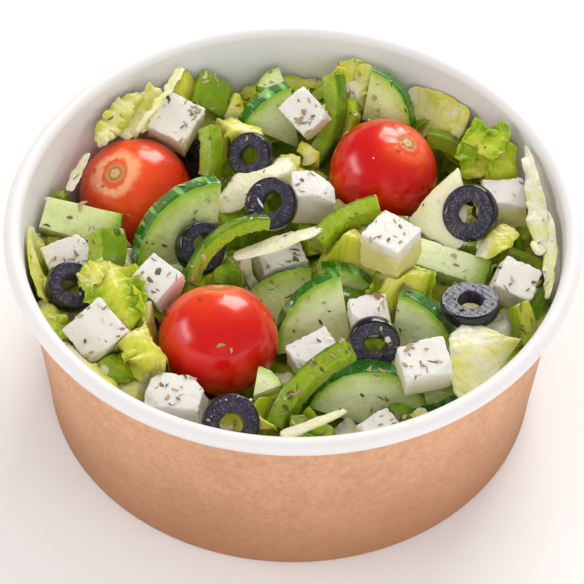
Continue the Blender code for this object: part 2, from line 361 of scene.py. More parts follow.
class Tree:
    """Short ways to add nodes to a tree and join them."""

    def __init__(self, nodes: NodeTree, shader: Node | None = None,
                 groups: "Groups | None" = None) -> None:
        """Work on one node tree.

        Args:
            nodes: the tree.
            shader: the node that `feed` joins values to.
            groups: the shared effects.
        """
        self.nodes = nodes
        self.shader = shader
        self.groups = groups

    def node(self, kind: str, inputs: dict, **settings: object) -> Node:
        """Add a node.

        Args:
            kind: type of the node without the "ShaderNode" in front.
            inputs: for each input, a value of the tree to join or a constant to set.
            settings: properties of the node.

        Returns:
            The node.
        """
        node = self.nodes.nodes.new("ShaderNode" + kind)
        for key, value in settings.items():
            setattr(node, key, value)
        for key, value in inputs.items():
            if isinstance(value, Value):
                self.nodes.links.new(value.socket, node.inputs[key])
            else:
                node.inputs[key].default_value = value
        return node

    def value(self, kind: str, inputs: dict, output: int | str = 0, **settings: object) -> Value:
        """Add a node and take one of its outputs."""
        return Value(self, self.node(kind, inputs, **settings).outputs[output])

    def feed(self, **values: Value) -> None:
        """Join values to the shader's sockets, whose names have _ for a space."""
        for key, value in values.items():
            self.nodes.links.new(value.socket, self.shader.inputs[key.replace("_", " ")])

    def math(self, operation: str, a: object, b: object = 0.0) -> Value:
        """One Math node and its result."""
        return self.value("Math", {0: a, 1: b}, operation=operation)

    def step(self, value: Value, low: float, high: float) -> Value:
        """0 below `low`, 1 above `high`, smooth between."""
        return self.value("MapRange", {"Value": value, "From Min": low, "From Max": high},
                          "Result", interpolation_type="SMOOTHSTEP")

    def fall(self, value: Value, low: float, high: float) -> Value:
        """1 below `low`, 0 above `high`, smooth between."""
        return self.math("SUBTRACT", 1.0, self.step(value, low, high))

    def mix(self, share: Value, a: object, b: object) -> Value:
        """Colour `a` with a share of colour `b`."""
        a, b = ((*c, 1.0) if isinstance(c, tuple) else c for c in (a, b))
        return self.value("Mix", {0: share, 6: a, 7: b}, 2, data_type="RGBA")

    def layers(self, colour: object, *coats: tuple[Value, object]) -> Value:
        """Lay coats over a colour.

        Args:
            colour: the colour below.
            coats: for each coat, its share and its colour, the lowest first.

        Returns:
            The colour on top.
        """
        for share, paint in coats:
            colour = self.mix(share, colour, paint)
        return colour

    def ramp(self, value: Value, stops: tuple[tuple[float, tuple], ...]) -> Value:
        """A run of colours.

        Args:
            value: a value from 0 to 1.
            stops: where each colour stands, and the colour.

        Returns:
            The colour at the value.
        """
        node = self.node("ValToRGB", {0: value})
        for k, (place, colour) in enumerate(stops):
            bar = node.color_ramp.elements
            stop = bar[k] if k < len(bar) else bar.new(place)
            stop.position, stop.color = place, (*colour, 1.0)
        return Value(self, node.outputs[0])

    def noise(self, place: Value, scale: object, detail: float = 2.0, rough: float = 0.5) -> Value:
        """Cloudy values about one half."""
        return self.value("TexNoise", {"Vector": place, "Scale": scale, "Detail": detail,
                                       "Roughness": rough})

    def cells(self, place: Value, scale: object, feature: str = "F1",
              random: float = 1.0) -> Value:
        """Distance to the nearest cell middle, or to the nearest cell edge."""
        return self.value("TexVoronoi", {"Vector": place, "Scale": scale, "Randomness": random},
                          "Distance", feature=feature)

    def mottle(self, place: Value, scale: float, contrast: float) -> Value:
        """The shared cloudy unevenness."""
        return self.value("Group", {"Vector": place, "Scale": scale, "Contrast": contrast},
                          node_tree=self.groups.mottle)

    def wet(self, place: Value, scale: float, amount: float) -> tuple[Value, Value]:
        """The shared grains of juice.

        Args:
            place: where the grains are looked up.
            scale: grains per unit of the place.
            amount: how much of the surface has them.

        Returns:
            Their glints and their height.
        """
        node = self.node("Group", {"Vector": place, "Scale": scale, "Amount": amount},
                         node_tree=self.groups.wet)
        return Value(self, node.outputs["Glints"]), Value(self, node.outputs["Height"])

    def mark(self, name: str, output: str = "Fac") -> Value:
        """A number kept at the points."""
        return self.value("Attribute", {}, output, attribute_name=name)

    def place(self, name: str) -> Value:
        """A vector kept at the points."""
        return self.mark(name, "Vector")

    def object_place(self) -> Value:
        """Object coordinates."""
        return self.value("TexCoord", {}, "Object")

    def bump(self, height: Value, depth: float) -> Value:
        """A normal from a height, with the depth in millimetres."""
        return self.value("Bump", {"Height": height, "Distance": depth * MM, "Strength": 1.0})


@dataclass
class Groups:
    """Effects that more than one finish uses, each built once."""

    mottle: NodeTree = field(init=False)
    wet: NodeTree = field(init=False)

    def __post_init__(self) -> None:
        """Build the groups."""
        self.mottle = self.make_mottle()
        self.wet = self.make_wet()

    @staticmethod
    def start(name: str, inputs: dict[str, float], outputs: tuple[str, ...]) -> tuple:
        """An empty shader node group with a vector input, number inputs and number outputs.

        Args:
            name: name of the group.
            inputs: number inputs and what they start at.
            outputs: names of the number outputs.

        Returns:
            The group's Tree, which feeds its output node, and its input values by name.
        """
        group = bpy.data.node_groups.new(name, "ShaderNodeTree")
        group.interface.new_socket("Vector", in_out="INPUT", socket_type="NodeSocketVector")
        for key, value in inputs.items():
            socket = group.interface.new_socket(key, in_out="INPUT", socket_type="NodeSocketFloat")
            socket.default_value = value
        for key in outputs:
            group.interface.new_socket(key, in_out="OUTPUT", socket_type="NodeSocketFloat")
        given = group.nodes.new("NodeGroupInput").outputs
        tree = Tree(group, group.nodes.new("NodeGroupOutput"))
        return tree, {key: Value(tree, given[key]) for key in ("Vector", *inputs)}

    def make_mottle(self) -> NodeTree:
        """Cloudy unevenness at one size with finer clouds in it.

        Returns:
            The group: a value about one half, spread by its contrast.
        """
        tree, given = self.start("mottle", {"Scale": 1.0, "Contrast": 1.0}, ("Value",))
        cloud = tree.noise(given["Vector"], given["Scale"], 3.0, 0.6)
        tree.feed(Value=(cloud.about(1.0) * given["Contrast"] + 0.5).clamped())
        return tree.nodes

    def make_wet(self) -> NodeTree:
        """Fine glints of juice: small bright grains where a cloud is dense.

        Returns:
            The group: a mask of glints and a height for a bump.
        """
        tree, given = self.start("wet_grains", {"Scale": 1.0, "Amount": 0.5}, ("Glints", "Height"))
        place, scale = given["Vector"], given["Scale"]
        near = tree.fall(tree.cells(place, scale), 0.10, 0.34)
        dense = tree.noise(place, scale * 0.22)
        gate = tree.step(dense + given["Amount"] * 0.4, 0.62, 0.74)
        tree.feed(Glints=near * gate, Height=near)
        return tree.nodes


# ---- finishes
@dataclass(frozen=True)
class Finish:
    """A finish: uniform values on the shader's own sockets, and what its nodes add to them."""

    name: ClassVar[str]
    uniform: ClassVar[dict[str, object]]

    def material(self, groups: Groups) -> Material:
        """Make the material.

        Args:
            groups: the shared effects.

        Returns:
            The material.
        """
        material = bpy.data.materials.new(self.name)
        material.use_nodes = True
        shader = material.node_tree.nodes["Principled BSDF"]
        for key, value in self.uniform.items():
            shader.inputs[key].default_value = value
        self.paint(Tree(material.node_tree, shader, groups))
        return material

    def paint(self, tree: Tree) -> None:
        """Add the finish's nodes to the material's tree. A uniform finish has none."""


@dataclass(frozen=True)
class KraftPaper(Finish):
    """Brown kraft paper: cloudy brown with short fibres and dark specks, darker towards the foot
    by painted shade.
    """

    name = "kraft_paper"
    uniform = {"Roughness": 0.72, "Specular IOR Level": 0.35}
    pale: tuple = (0.84, 0.475, 0.29)
    deep: tuple = (0.56, 0.275, 0.148)
    speck: tuple = (0.20, 0.08, 0.035)
    # colour and share of the painted shade that darkens the wall towards its foot
    shade: tuple = (0.30, 0.115, 0.045)
    foot: float = 0.75

    def paint(self, tree: Tree) -> None:
        """Clouds blended with fibres that run round the bowl, then specks, then painted shade at
        the foot.

        Args:
            tree: the material's tree.
        """
        place = tree.object_place()
        cloud = tree.mottle(place, 55.0, 1.6) * 0.55 + tree.mottle(place, 420.0, 2.2) * 0.45
        along = tree.value("Mapping", {"Vector": place, "Scale": (1.0, 1.0, 5.0)})
        fibre = tree.noise(along, 900.0, 3.0, 0.7)
        grain = tree.noise(along, 2100.0, 2.0, 0.6)
        blend = ((cloud + fibre.about(1.5)).clamped() + grain.about(1.6)).clamped()
        specks = tree.fall(tree.cells(place, 640.0), 0.08, 0.22)
        some = tree.step(tree.noise(place, 260.0), 0.55, 0.70)
        # painted shade: the paper darkens towards the foot, where the lower wall lies in shade
        low = tree.fall(tree.value("SeparateXYZ", {"Vector": place}, "Z"), -0.010, 0.052)
        colour = tree.layers(tree.mix(blend, self.deep, self.pale),
                             (specks * some * 0.45, self.speck), (low * self.foot, self.shade))
        tree.feed(Base_Color=colour, Normal=tree.bump(fibre, 0.05))


@dataclass(frozen=True)
class WhitePaper(Finish):
    """Coated white paper: smooth, satin, faintly uneven."""

    name = "white_paper"
    uniform = {"Specular IOR Level": 0.45}
    white: tuple = (0.84, 0.82, 0.815)
    shade: float = 0.965

    def paint(self, tree: Tree) -> None:
        """Faint clouds of shade, and fibres in the gloss and the relief.

        Args:
            tree: the material's tree.
        """
        place = tree.object_place()
        cloud = tree.mottle(place, 38.0, 1.0)
        fibre = tree.noise(place, 700.0, 3.0, 0.6)
        dim = tuple(c * self.shade for c in self.white)
        tree.feed(Base_Color=tree.mix(cloud, dim, self.white), Roughness=fibre * 0.22 + 0.34,
                  Normal=tree.bump(fibre * 0.25 + cloud, 0.06))


@dataclass(frozen=True)
class TomatoSkin(Finish):
    """Taut glossy red skin, orange round the stem, with a tan corky scar."""

    name = "tomato_skin"
    uniform = {"Subsurface Weight": 0.12, "Subsurface Scale": 0.004,
               "Subsurface Radius": (1.0, 0.25, 0.08), "Coat Weight": 0.5,
               "Coat Roughness": 0.17, "Specular IOR Level": 0.5}
    red: tuple = (0.66, 0.004, 0.003)
    orange: tuple = (0.94, 0.088, 0.010)
    fleck: tuple = (0.86, 0.22, 0.05)
    # the pale ring round the scar: partly the skin's own colour, partly a painted reflection
    halo_and_reflection: tuple = (1.0, 0.50, 0.25)
    cork: tuple = ((0.0, (0.58, 0.28, 0.11)), (0.07, (0.95, 0.60, 0.32)),
                   (0.15, (0.92, 0.48, 0.20)), (0.22, (0.52, 0.22, 0.05)),
                   (0.30, (0.88, 0.36, 0.10)), (0.40, (0.86, 0.18, 0.04)),
                   (0.52, (0.82, 0.10, 0.02)))

    def paint(self, tree: Tree) -> None:
        """From orange at the stem to red, then flecks, a pale ring of skin colour and painted
        reflection, and the rings of the scar.

        Args:
            tree: the material's tree.
        """
        own, polar = tree.place("own"), tree.mark("polar")
        cloud = tree.mottle(own, 0.16, 1.5)
        warm = tree.fall(tree.mark("ripe") + cloud.about(0.3), 0.10, 1.45)
        flecks = tree.fall(tree.cells(own, 1.7), 0.05, 0.16)
        side = polar + cloud.about(0.34)
        # the pale ring round the scar is partly the skin's own colour and partly a painted
        # reflection of the light
        halo_and_reflection = tree.step(side, 0.24, 0.31) * tree.fall(side, 0.35, 0.54)
        scar = tree.fall(polar, 0.15, 0.27)
        colour = tree.layers(tree.mix(warm, self.red, self.orange), (flecks * 0.22, self.fleck),
                             (halo_and_reflection * tree.mark("ring"), self.halo_and_reflection),
                             (scar, tree.ramp(polar * 2.0, self.cork)))
        tree.feed(Base_Color=colour, Roughness=scar * 0.4 + 0.20,
                  Normal=tree.bump(tree.noise(own, 3.2, 4.0, 0.7) * scar, 0.5))


@dataclass(frozen=True)
class FetaCheese(Finish):
    """Moist white cheese with fine pores, a faint yellow in its hollows, and at its foot a tint
    that is partly juice and partly painted shade.
    """

    name = "feta_cheese"
    uniform = {"Subsurface Weight": 0.35, "Subsurface Scale": 0.0025,
               "Subsurface Radius": (1.0, 0.85, 0.6), "Specular IOR Level": 0.4}
    white: tuple = (0.905, 0.88, 0.835)
    hollow: tuple = (0.85, 0.80, 0.65)
    # colour at the foot: partly juice, partly painted shade in the lettuce's yellow-green
    juice_and_shade: tuple = (0.80, 0.72, 0.22)

    def paint(self, tree: Tree) -> None:
        """Clouds and pores stained like the hollows, and a yellow tint climbing from the foot,
        partly juice and partly painted shade.

        Args:
            tree: the material's tree.
        """
        own = tree.place("own")
        cloud = tree.mottle(own, 0.35, 1.4)
        grain = tree.noise(own, 2.6, 4.0, 0.62)
        few = tree.step(tree.noise(own, 0.6), 0.50, 0.62)
        pits = tree.fall(tree.cells(own, 1.5), 0.0, 0.20) * few
        stain = (cloud * 0.45 + pits * 0.6) * 0.75
        # the tint at the foot is partly juice and partly painted shade on the lower sides
        soaked_and_shaded = tree.step(tree.mark("low") + cloud.about(0.5), 0.18, 0.95) * 0.9
        colour = tree.layers(self.white, (stain, self.hollow), (soaked_and_shaded, self.juice_and_shade))
        tree.feed(Base_Color=colour, Roughness=grain * 0.35 + 0.22,
                  Normal=tree.bump(grain * 0.8 - pits, 0.34))


@dataclass(frozen=True)
class OliveFlesh(Finish):
    """Black olive: glossy skin outside, cut faces in speckled blue-black."""

    name = "olive_flesh"
    uniform = {"Specular IOR Level": 0.5, "Coat Weight": 0.4, "Coat Roughness": 0.10}
    skin: tuple = (0.010, 0.010, 0.014)
    cut: tuple = (0.032, 0.026, 0.052)
    # the next three colours are painted sheen and painted highlights on the cut faces
    sheen_streak: tuple = (0.20, 0.17, 0.29)
    grain: tuple = (0.50, 0.49, 0.58)
    glint: tuple = (0.60, 0.58, 0.64)

    def paint(self, tree: Tree) -> None:
        """Pale streaks out from the hole, fine grains and wet glints, which are painted sheen and
        painted highlights, all on the cut faces only.

        Args:
            tree: the material's tree.
        """
        cut, rays = tree.mark("cut"), tree.place("rays")
        sheen_streaks = tree.noise(rays, 1.0, 4.0, 0.65)
        glints, height = tree.wet(tree.place("own"), 3.4, 0.42)
        # the pale streaks, grains and glints are painted sheen and highlights; the streaks also
        # make the relief
        flesh = tree.layers(self.cut, (tree.step(sheen_streaks, 0.50, 0.74) * 0.6, self.sheen_streak),
                            (tree.wet(rays, 2.4, 0.45)[0] * 0.75, self.grain),
                            (glints * 0.5, self.glint))
        tree.feed(Base_Color=tree.mix(cut, self.skin, flesh), Roughness=cut * 0.26 + 0.14,
                  Normal=tree.bump((sheen_streaks + height) * cut, 0.12))


@dataclass(frozen=True)
class CucumberFlesh(Finish):
    """Wet pale flesh with seeds about its middle, a green edge and a dark striped rind."""

    name = "cucumber_flesh"
    uniform = {"Subsurface Weight": 0.4, "Subsurface Scale": 0.003,
               "Subsurface Radius": (0.8, 1.0, 0.30), "Specular IOR Level": 0.5,
               "Coat Weight": 0.55, "Coat Roughness": 0.08}
    middle: tuple = (0.78, 0.84, 0.42)
    edge: tuple = (0.46, 0.62, 0.07)
    core: tuple = (0.66, 0.76, 0.26)
    # the next three colours: painted light where a slice's tone is above 0, painted shade where it
    # is below 0, and painted shade low on the slice
    lit: tuple = (0.92, 1.0, 0.66)
    painted_shade: tuple = (0.22, 0.26, 0.03)
    juice_and_shade: tuple = (0.44, 0.48, 0.05)
    seed: tuple = (0.90, 0.92, 0.62)
    husk: tuple = (0.36, 0.48, 0.12)
    thread: tuple = (0.86, 0.90, 0.62)
    glint: tuple = (0.90, 0.92, 0.80)
    line: tuple = (0.20, 0.42, 0.02)
    rind: tuple = (0.022, 0.160, 0.004)
    stripe: tuple = (0.22, 0.50, 0.12)
    # painted sheen on the rind's stripes
    sheen_streak: tuple = (0.50, 0.72, 0.42)

    def paint(self, tree: Tree) -> None:
        """The flesh by its share of the radius, with its seeds and threads, painted light, shade
        and glints; then the rind, with painted sheen on its stripes.

        Args:
            tree: the material's tree.
        """
        share, tone = tree.mark("share"), tree.mark("tone")
        cloud = tree.mottle(tree.place("own"), 0.28, 1.6)
        glints, _ = tree.wet(tree.place("own"), 2.2, 0.30)
        toward = (tree.step(share, 0.60, 1.0) + cloud.about(0.55)).clamped()
        seed = tree.cells(tree.place("disc"), 1.0, random=0.35)
        band = tree.step(share, 0.22, 0.30) * tree.fall(share, 0.56, 0.64)
        body = tree.fall(seed, 0.17, 0.25) * band
        husk = (tree.fall(seed, 0.26, 0.36) - tree.fall(seed, 0.16, 0.24)) * band
        low = tree.step(tree.mark("low") + cloud.about(0.6), 0.35, 1.0)
        threads = tree.noise(tree.place("rays"), 1.0, 3.0, 0.6)
        # painted light and shade: the tone lightens or darkens the flesh, the low part is darkened
        # as shade would, and the glints are painted highlights
        flesh = tree.layers(
            self.middle, (toward, self.edge), (tree.fall(share, 0.52, 0.66) * 0.30, self.core),
            ((tree.math("SUBTRACT", 1.0, toward) * tone).clamped(), self.lit),
            ((tone * -1.0).clamped(), self.painted_shade), (low * 0.85, self.juice_and_shade),
            (body * 0.20, self.seed), (husk * 0.10, self.husk),
            (tree.step(threads, 0.52, 0.70) * 0.35, self.thread), (glints * 0.5, self.glint),
            (tree.step(share, 0.90, 0.97) * 0.7, self.line))
        bars, striped = tree.noise(tree.place("bars"), 1.0, 2.0, 0.55), tree.mark("striped")
        # the stripes are the rind's own; the pale streaks on them are painted sheen
        rind = tree.layers(self.rind, (tree.step(bars, 0.51, 0.58) * striped, self.stripe),
                           (tree.step(bars, 0.62, 0.68) * striped, self.sheen_streak))
        height = threads * 0.5 + (body * 0.5 + cloud * 1.2)
        tree.feed(Base_Color=tree.mix(tree.mark("skin"), flesh, rind),
                  Roughness=cloud * 0.26 + 0.10, Normal=tree.bump(height, 0.25))


@dataclass(frozen=True)
class PepperFlesh(Finish):
    """Green pepper: glossy deep skin with pale dots, wet yellow-green flesh."""

    name = "pepper_flesh"
    uniform = {"Subsurface Weight": 0.25, "Subsurface Scale": 0.003,
               "Subsurface Radius": (0.7, 1.0, 0.10), "Specular IOR Level": 0.3,
               "Coat Roughness": 0.07}
    skin: tuple = (0.125, 0.275, 0.003)
    # darker and lighter greens of the skin: clouds mix in the darker one at random, the strip's
    # tone mixes both in as painted shade and painted light
    deep: tuple = (0.035, 0.120, 0.002)
    ripe: tuple = (0.50, 0.54, 0.02)
    dot: tuple = (0.40, 0.52, 0.08)
    patch: tuple = (0.30, 0.44, 0.012)
    flesh: tuple = (0.42, 0.52, 0.025)
    green: tuple = (0.25, 0.39, 0.008)
    # painted shade on the flesh, and painted highlights
    shade: tuple = (0.075, 0.17, 0.004)
    glint: tuple = (0.82, 0.86, 0.55)

    def paint(self, tree: Tree) -> None:
        """The skin by its tone, which is painted light and shade, with dots and patches; the flesh
        in clouds, with painted glints.

        Args:
            tree: the material's tree.
        """
        own, skin, tone = tree.place("own"), tree.mark("skin"), tree.mark("tone")
        cloud = tree.mottle(own, 0.30, 1.6)
        glints, grains = tree.wet(own, 2.0, 0.45)
        # each strip's tone is painted light and shade: above 0 it darkens skin and flesh as shade
        # would, below 0 it lightens the skin as light would
        dark = (cloud * 0.6 + tone).clamped()
        dots = tree.fall(tree.cells(own, 1.6), 0.06, 0.20)
        patches = tree.step(tree.noise(own, 0.22), 0.46, 0.66)
        outside = tree.layers(self.skin, (dark, self.deep), ((tone * -1.0).clamped(), self.ripe),
                              (dots * 0.35, self.dot), (patches * 0.45, self.patch))
        inside = tree.layers(self.flesh, (cloud, self.green), (dark * (tone * 1.6), self.shade),
                             (glints * 0.8, self.glint))
        height = grains * (skin * -0.85 + 1.0) + cloud * 0.8
        tree.feed(Base_Color=tree.mix(skin, inside, outside), Normal=tree.bump(height, 0.35),
                  Coat_Weight=skin * 0.5 + 0.2, Roughness=skin * -0.16 + 0.32)


@dataclass(frozen=True)
class LettuceSkin(Finish):
    """Soft leaf: from deep green to cream by its paleness, with a net of pale veins."""

    name = "lettuce_skin"
    uniform = {"Subsurface Weight": 0.6, "Subsurface Scale": 0.002,
               "Subsurface Radius": (1.0, 1.0, 0.15), "Specular IOR Level": 0.3,
               "Coat Weight": 0.3, "Coat Roughness": 0.12}
    greens: tuple = ((0.0, (0.035, 0.110, 0.003)), (0.2, (0.18, 0.33, 0.004)),
                     (0.42, (0.43, 0.565, 0.014)), (0.62, (0.68, 0.66, 0.075)),
                     (0.8, (0.80, 0.77, 0.27)), (1.0, (0.86, 0.81, 0.58)))
    brown: tuple = (0.42, 0.19, 0.07)

    def paint(self, tree: Tree) -> None:
        """Paleness plus a net of veins, combs of finer ones and clouds; brown torn edges.

        Args:
            tree: the material's tree.
        """
        sheet = tree.place("sheet")
        sway = tree.value("TexNoise", {"Vector": sheet, "Scale": 0.22, "Detail": 2.0}, "Color")
        sway = tree.value("VectorMath", {0: sway, 1: (3.0, 3.0, 3.0)}, operation="MULTIPLY")
        bent = tree.value("VectorMath", {0: sheet, 1: sway}, operation="ADD")
        slant = tree.value("Mapping", {"Vector": bent, "Scale": (0.26, 0.12, 1.0)})
        net = tree.cells(slant, 1.0, "DISTANCE_TO_EDGE")
        fine = tree.noise(bent, 0.9, 3.0, 0.6)
        gate = tree.step(tree.noise(sheet, 0.12), 0.42, 0.62)
        across = tree.value("SeparateXYZ", {"Vector": bent}, "X")
        along = tree.value("SeparateXYZ", {"Vector": bent}, "Y")
        run = tree.math("ABSOLUTE", across) * 1.4 - along
        comb = tree.step(tree.math("SINE", run * 2.6), 0.80, 1.0) * tree.step(fine, 0.40, 0.62)
        veins = tree.fall(net, 0.0, 0.055) * gate * 0.13 + comb * 0.11
        cloud = tree.mottle(sheet, 0.16, 1.5)
        value = (tree.mark("pale") + veins + cloud.about(0.26)).clamped()
        height = tree.step(net, 0.0, 0.25) * 0.5 + fine
        tree.feed(Base_Color=tree.mix(tree.mark("brown"), tree.ramp(value, self.greens),
                                      self.brown),
                  Normal=tree.bump(height, 0.22), Roughness=cloud * 0.30 + 0.30)


@dataclass(frozen=True)
class Herb(Finish):
    """Dried oregano: from dark green through olive to tan and red-brown."""

    name = "dried_oregano"
    uniform = {"Roughness": 0.65}
    tones: tuple = ((0.0, (0.055, 0.075, 0.016)), (0.3, (0.17, 0.18, 0.050)),
                    (0.55, (0.40, 0.30, 0.14)), (0.8, (0.60, 0.47, 0.26)),
                    (1.0, (0.36, 0.14, 0.055)))

    def paint(self, tree: Tree) -> None:
        """Each flake's own tone, with fibres in it.

        Args:
            tree: the material's tree.
        """
        fibre = tree.noise(tree.object_place(), 1800.0, 3.0, 0.6)
        value = (tree.mark("tone") + fibre.about(0.35)).clamped()
        tree.feed(Base_Color=tree.ramp(value, self.tones), Normal=tree.bump(fibre, 0.1))


@dataclass(frozen=True)
class ClearWater(Finish):
    """Drops of water."""

    name = "clear_water"
    uniform = {"Roughness": 0.02, "IOR": 1.33, "Transmission Weight": 1.0,
               "Base Color": (1.0, 1.0, 1.0, 1.0)}


@dataclass(frozen=True)
class StudioFloor(Finish):
    """Plain pale floor with a trace of unevenness."""

    name = "studio_floor"
    uniform = {"Roughness": 0.8, "Specular IOR Level": 0.2}

    def paint(self, tree: Tree) -> None:
        """Two pale greys in broad clouds."""
        cloud = tree.noise(tree.object_place(), 3.0)
        tree.feed(Base_Color=tree.mix(cloud, (0.90, 0.90, 0.90), (0.93, 0.93, 0.93)))


# ---- bowl
@dataclass
class PaperBowl:
    """Tapered paper wall with a rolled rim and a folded foot, and the disc in its foot."""

    height: float = 60.0
    rim_radius: float = 75.0
    roll_radius: float = 2.3
    foot_radius: float = 65.4
    paper: float = 0.6
    foot_fold: float = 2.4
    foot_height: float = 6.0
    disc: float = 0.7
    gap: float = 0.3
    steps: int = 256

    def outer(self, z: Array | float) -> Array | float:
        """Outside radius of the straight wall.

        Args:
            z: height above the table.

        Returns:
            The radius at that height.
        """
        top = self.height - self.roll_radius
        spread = self.rim_radius - 2 * self.roll_radius + self.paper - self.foot_radius
        return self.foot_radius + spread * z / top

    def inner(self, z: Array | float) -> Array | float:
        """Inside radius of the wall at height z."""
        return self.outer(z) - self.paper

    def turned(self, radius: Array, height: Array, closed: bool) -> Surface:
        """Turn a profile round the Z axis.

        The point of profile place s and angle a is (r(s) cos a, r(s) sin a, z(s)).

        Args:
            radius: radii of the profile.
            height: heights of the profile.
            closed: whether the profile closes on itself.

        Returns:
            The turned surface.
        """
        angle = np.arange(self.steps) * TAU / self.steps
        points = coords(radius[:, None] * np.cos(angle), radius[:, None] * np.sin(angle),
                        height[:, None])
        return Surface(points.reshape(-1, 3),
                       grid_quads(len(radius), self.steps, True, closed))

    def wall(self, kraft: Material, white: Material) -> Object:
        """The wall: over the bead, down the kraft outside, round the foot, up the white inside.

        The bead is a circle of the roll radius; the foot is a folded hem with rounded corners.
        Where the sheet overlaps itself the outside has a step of about 0.13 mm.

        Args:
            kraft: finish of the outside.
            white: finish of the bead and the inside.

        Returns:
            The wall.
        """
        bead_r = self.rim_radius - self.roll_radius
        bead_z = self.height - self.roll_radius
        under = bead_z - self.roll_radius * 0.95
        round_ = np.radians(np.linspace(180, -100, 36))
        bead = coords(bead_r + self.roll_radius * np.cos(round_),
                      bead_z + self.roll_radius * np.sin(round_))
        down = np.linspace(under, 0.7, 40)
        fold = self.foot_radius - self.foot_fold
        corner = np.radians(np.linspace(0, -90, 6))
        foot_out = coords(self.outer(0.6) - 0.6 + 0.6 * np.cos(corner), 0.6 + 0.6 * np.sin(corner))
        foot_in = coords(fold + 0.5 - 0.5 * np.sin(-corner), 0.5 - 0.5 * np.cos(corner))
        hem = np.array([[fold, 2.5], [fold, self.foot_height - 0.4],
                        [fold + 0.12, self.foot_height - 0.1], [fold + 0.4, self.foot_height],
                        [self.inner(self.foot_height), self.foot_height]])
        up = np.linspace(self.foot_height + 1, under, 30)
        path = np.concatenate([bead, coords(self.outer(down), down), foot_out,
                               foot_in, hem, coords(self.inner(up), up)])
        surface = self.turned(path[:, 0], path[:, 1], True)
        angle = np.arctan2(surface.points[:, 1], surface.points[:, 0])
        z = surface.points[:, 2]
        straight = smooth(1.5, 4.0, z) * (1 - smooth(under - 4.0, under - 1.0, z))
        radial = np.hypot(surface.points[:, 0], surface.points[:, 1])
        outside = radial > self.outer(z) - self.paper / 2
        lap = smooth(-2.835, -2.822, angle) * (1 - smooth(-2.73, -2.40, angle))
        dent = np.where(outside, -0.22 * straight * (1 - lap) * 0.6, 0.0)
        soft = 0.10 * ripple(surface.points, 46.0, 3) * straight * np.where(outside, 0.5, 1.0)
        scale = 1 + (dent - np.abs(soft) * np.where(outside, 1, 0)) / np.maximum(radial, 1.0)
        surface.points[:, :2] *= scale[:, None]
        slots = np.zeros(len(path), int)
        slots[:len(bead) - 1] = 1
        slots[len(bead) + len(down) + len(foot_out) + len(foot_in) + len(hem) - 1:] = 1
        return make_object("paper_wall", surface.outward(), kraft, white,
                           slots=np.repeat(slots, self.steps))

    def base(self, white: Material) -> Object:
        """The disc on the folded foot, with a pressed ring near its edge.

        Args:
            white: its finish.

        Returns:
            The disc.
        """
        low = self.foot_height + self.gap
        high = low + self.disc
        edge = self.inner(low) - self.gap
        radius = np.concatenate([np.linspace(0, edge - 0.2, 40), [edge, edge],
                                 np.linspace(edge - 0.2, 0, 40)])
        ring = 0.25 * np.exp(-((radius - edge + 7.0) / 1.1) ** 2)
        top = np.concatenate([np.full(40, high), [high - 0.15, low + 0.15], np.full(40, low)])
        height = top - np.where(np.arange(len(top)) < 41, ring * 0.6, -ring)
        surface = self.turned(radius, height, False).welded().outward()
        return make_object("paper_base", surface, white)


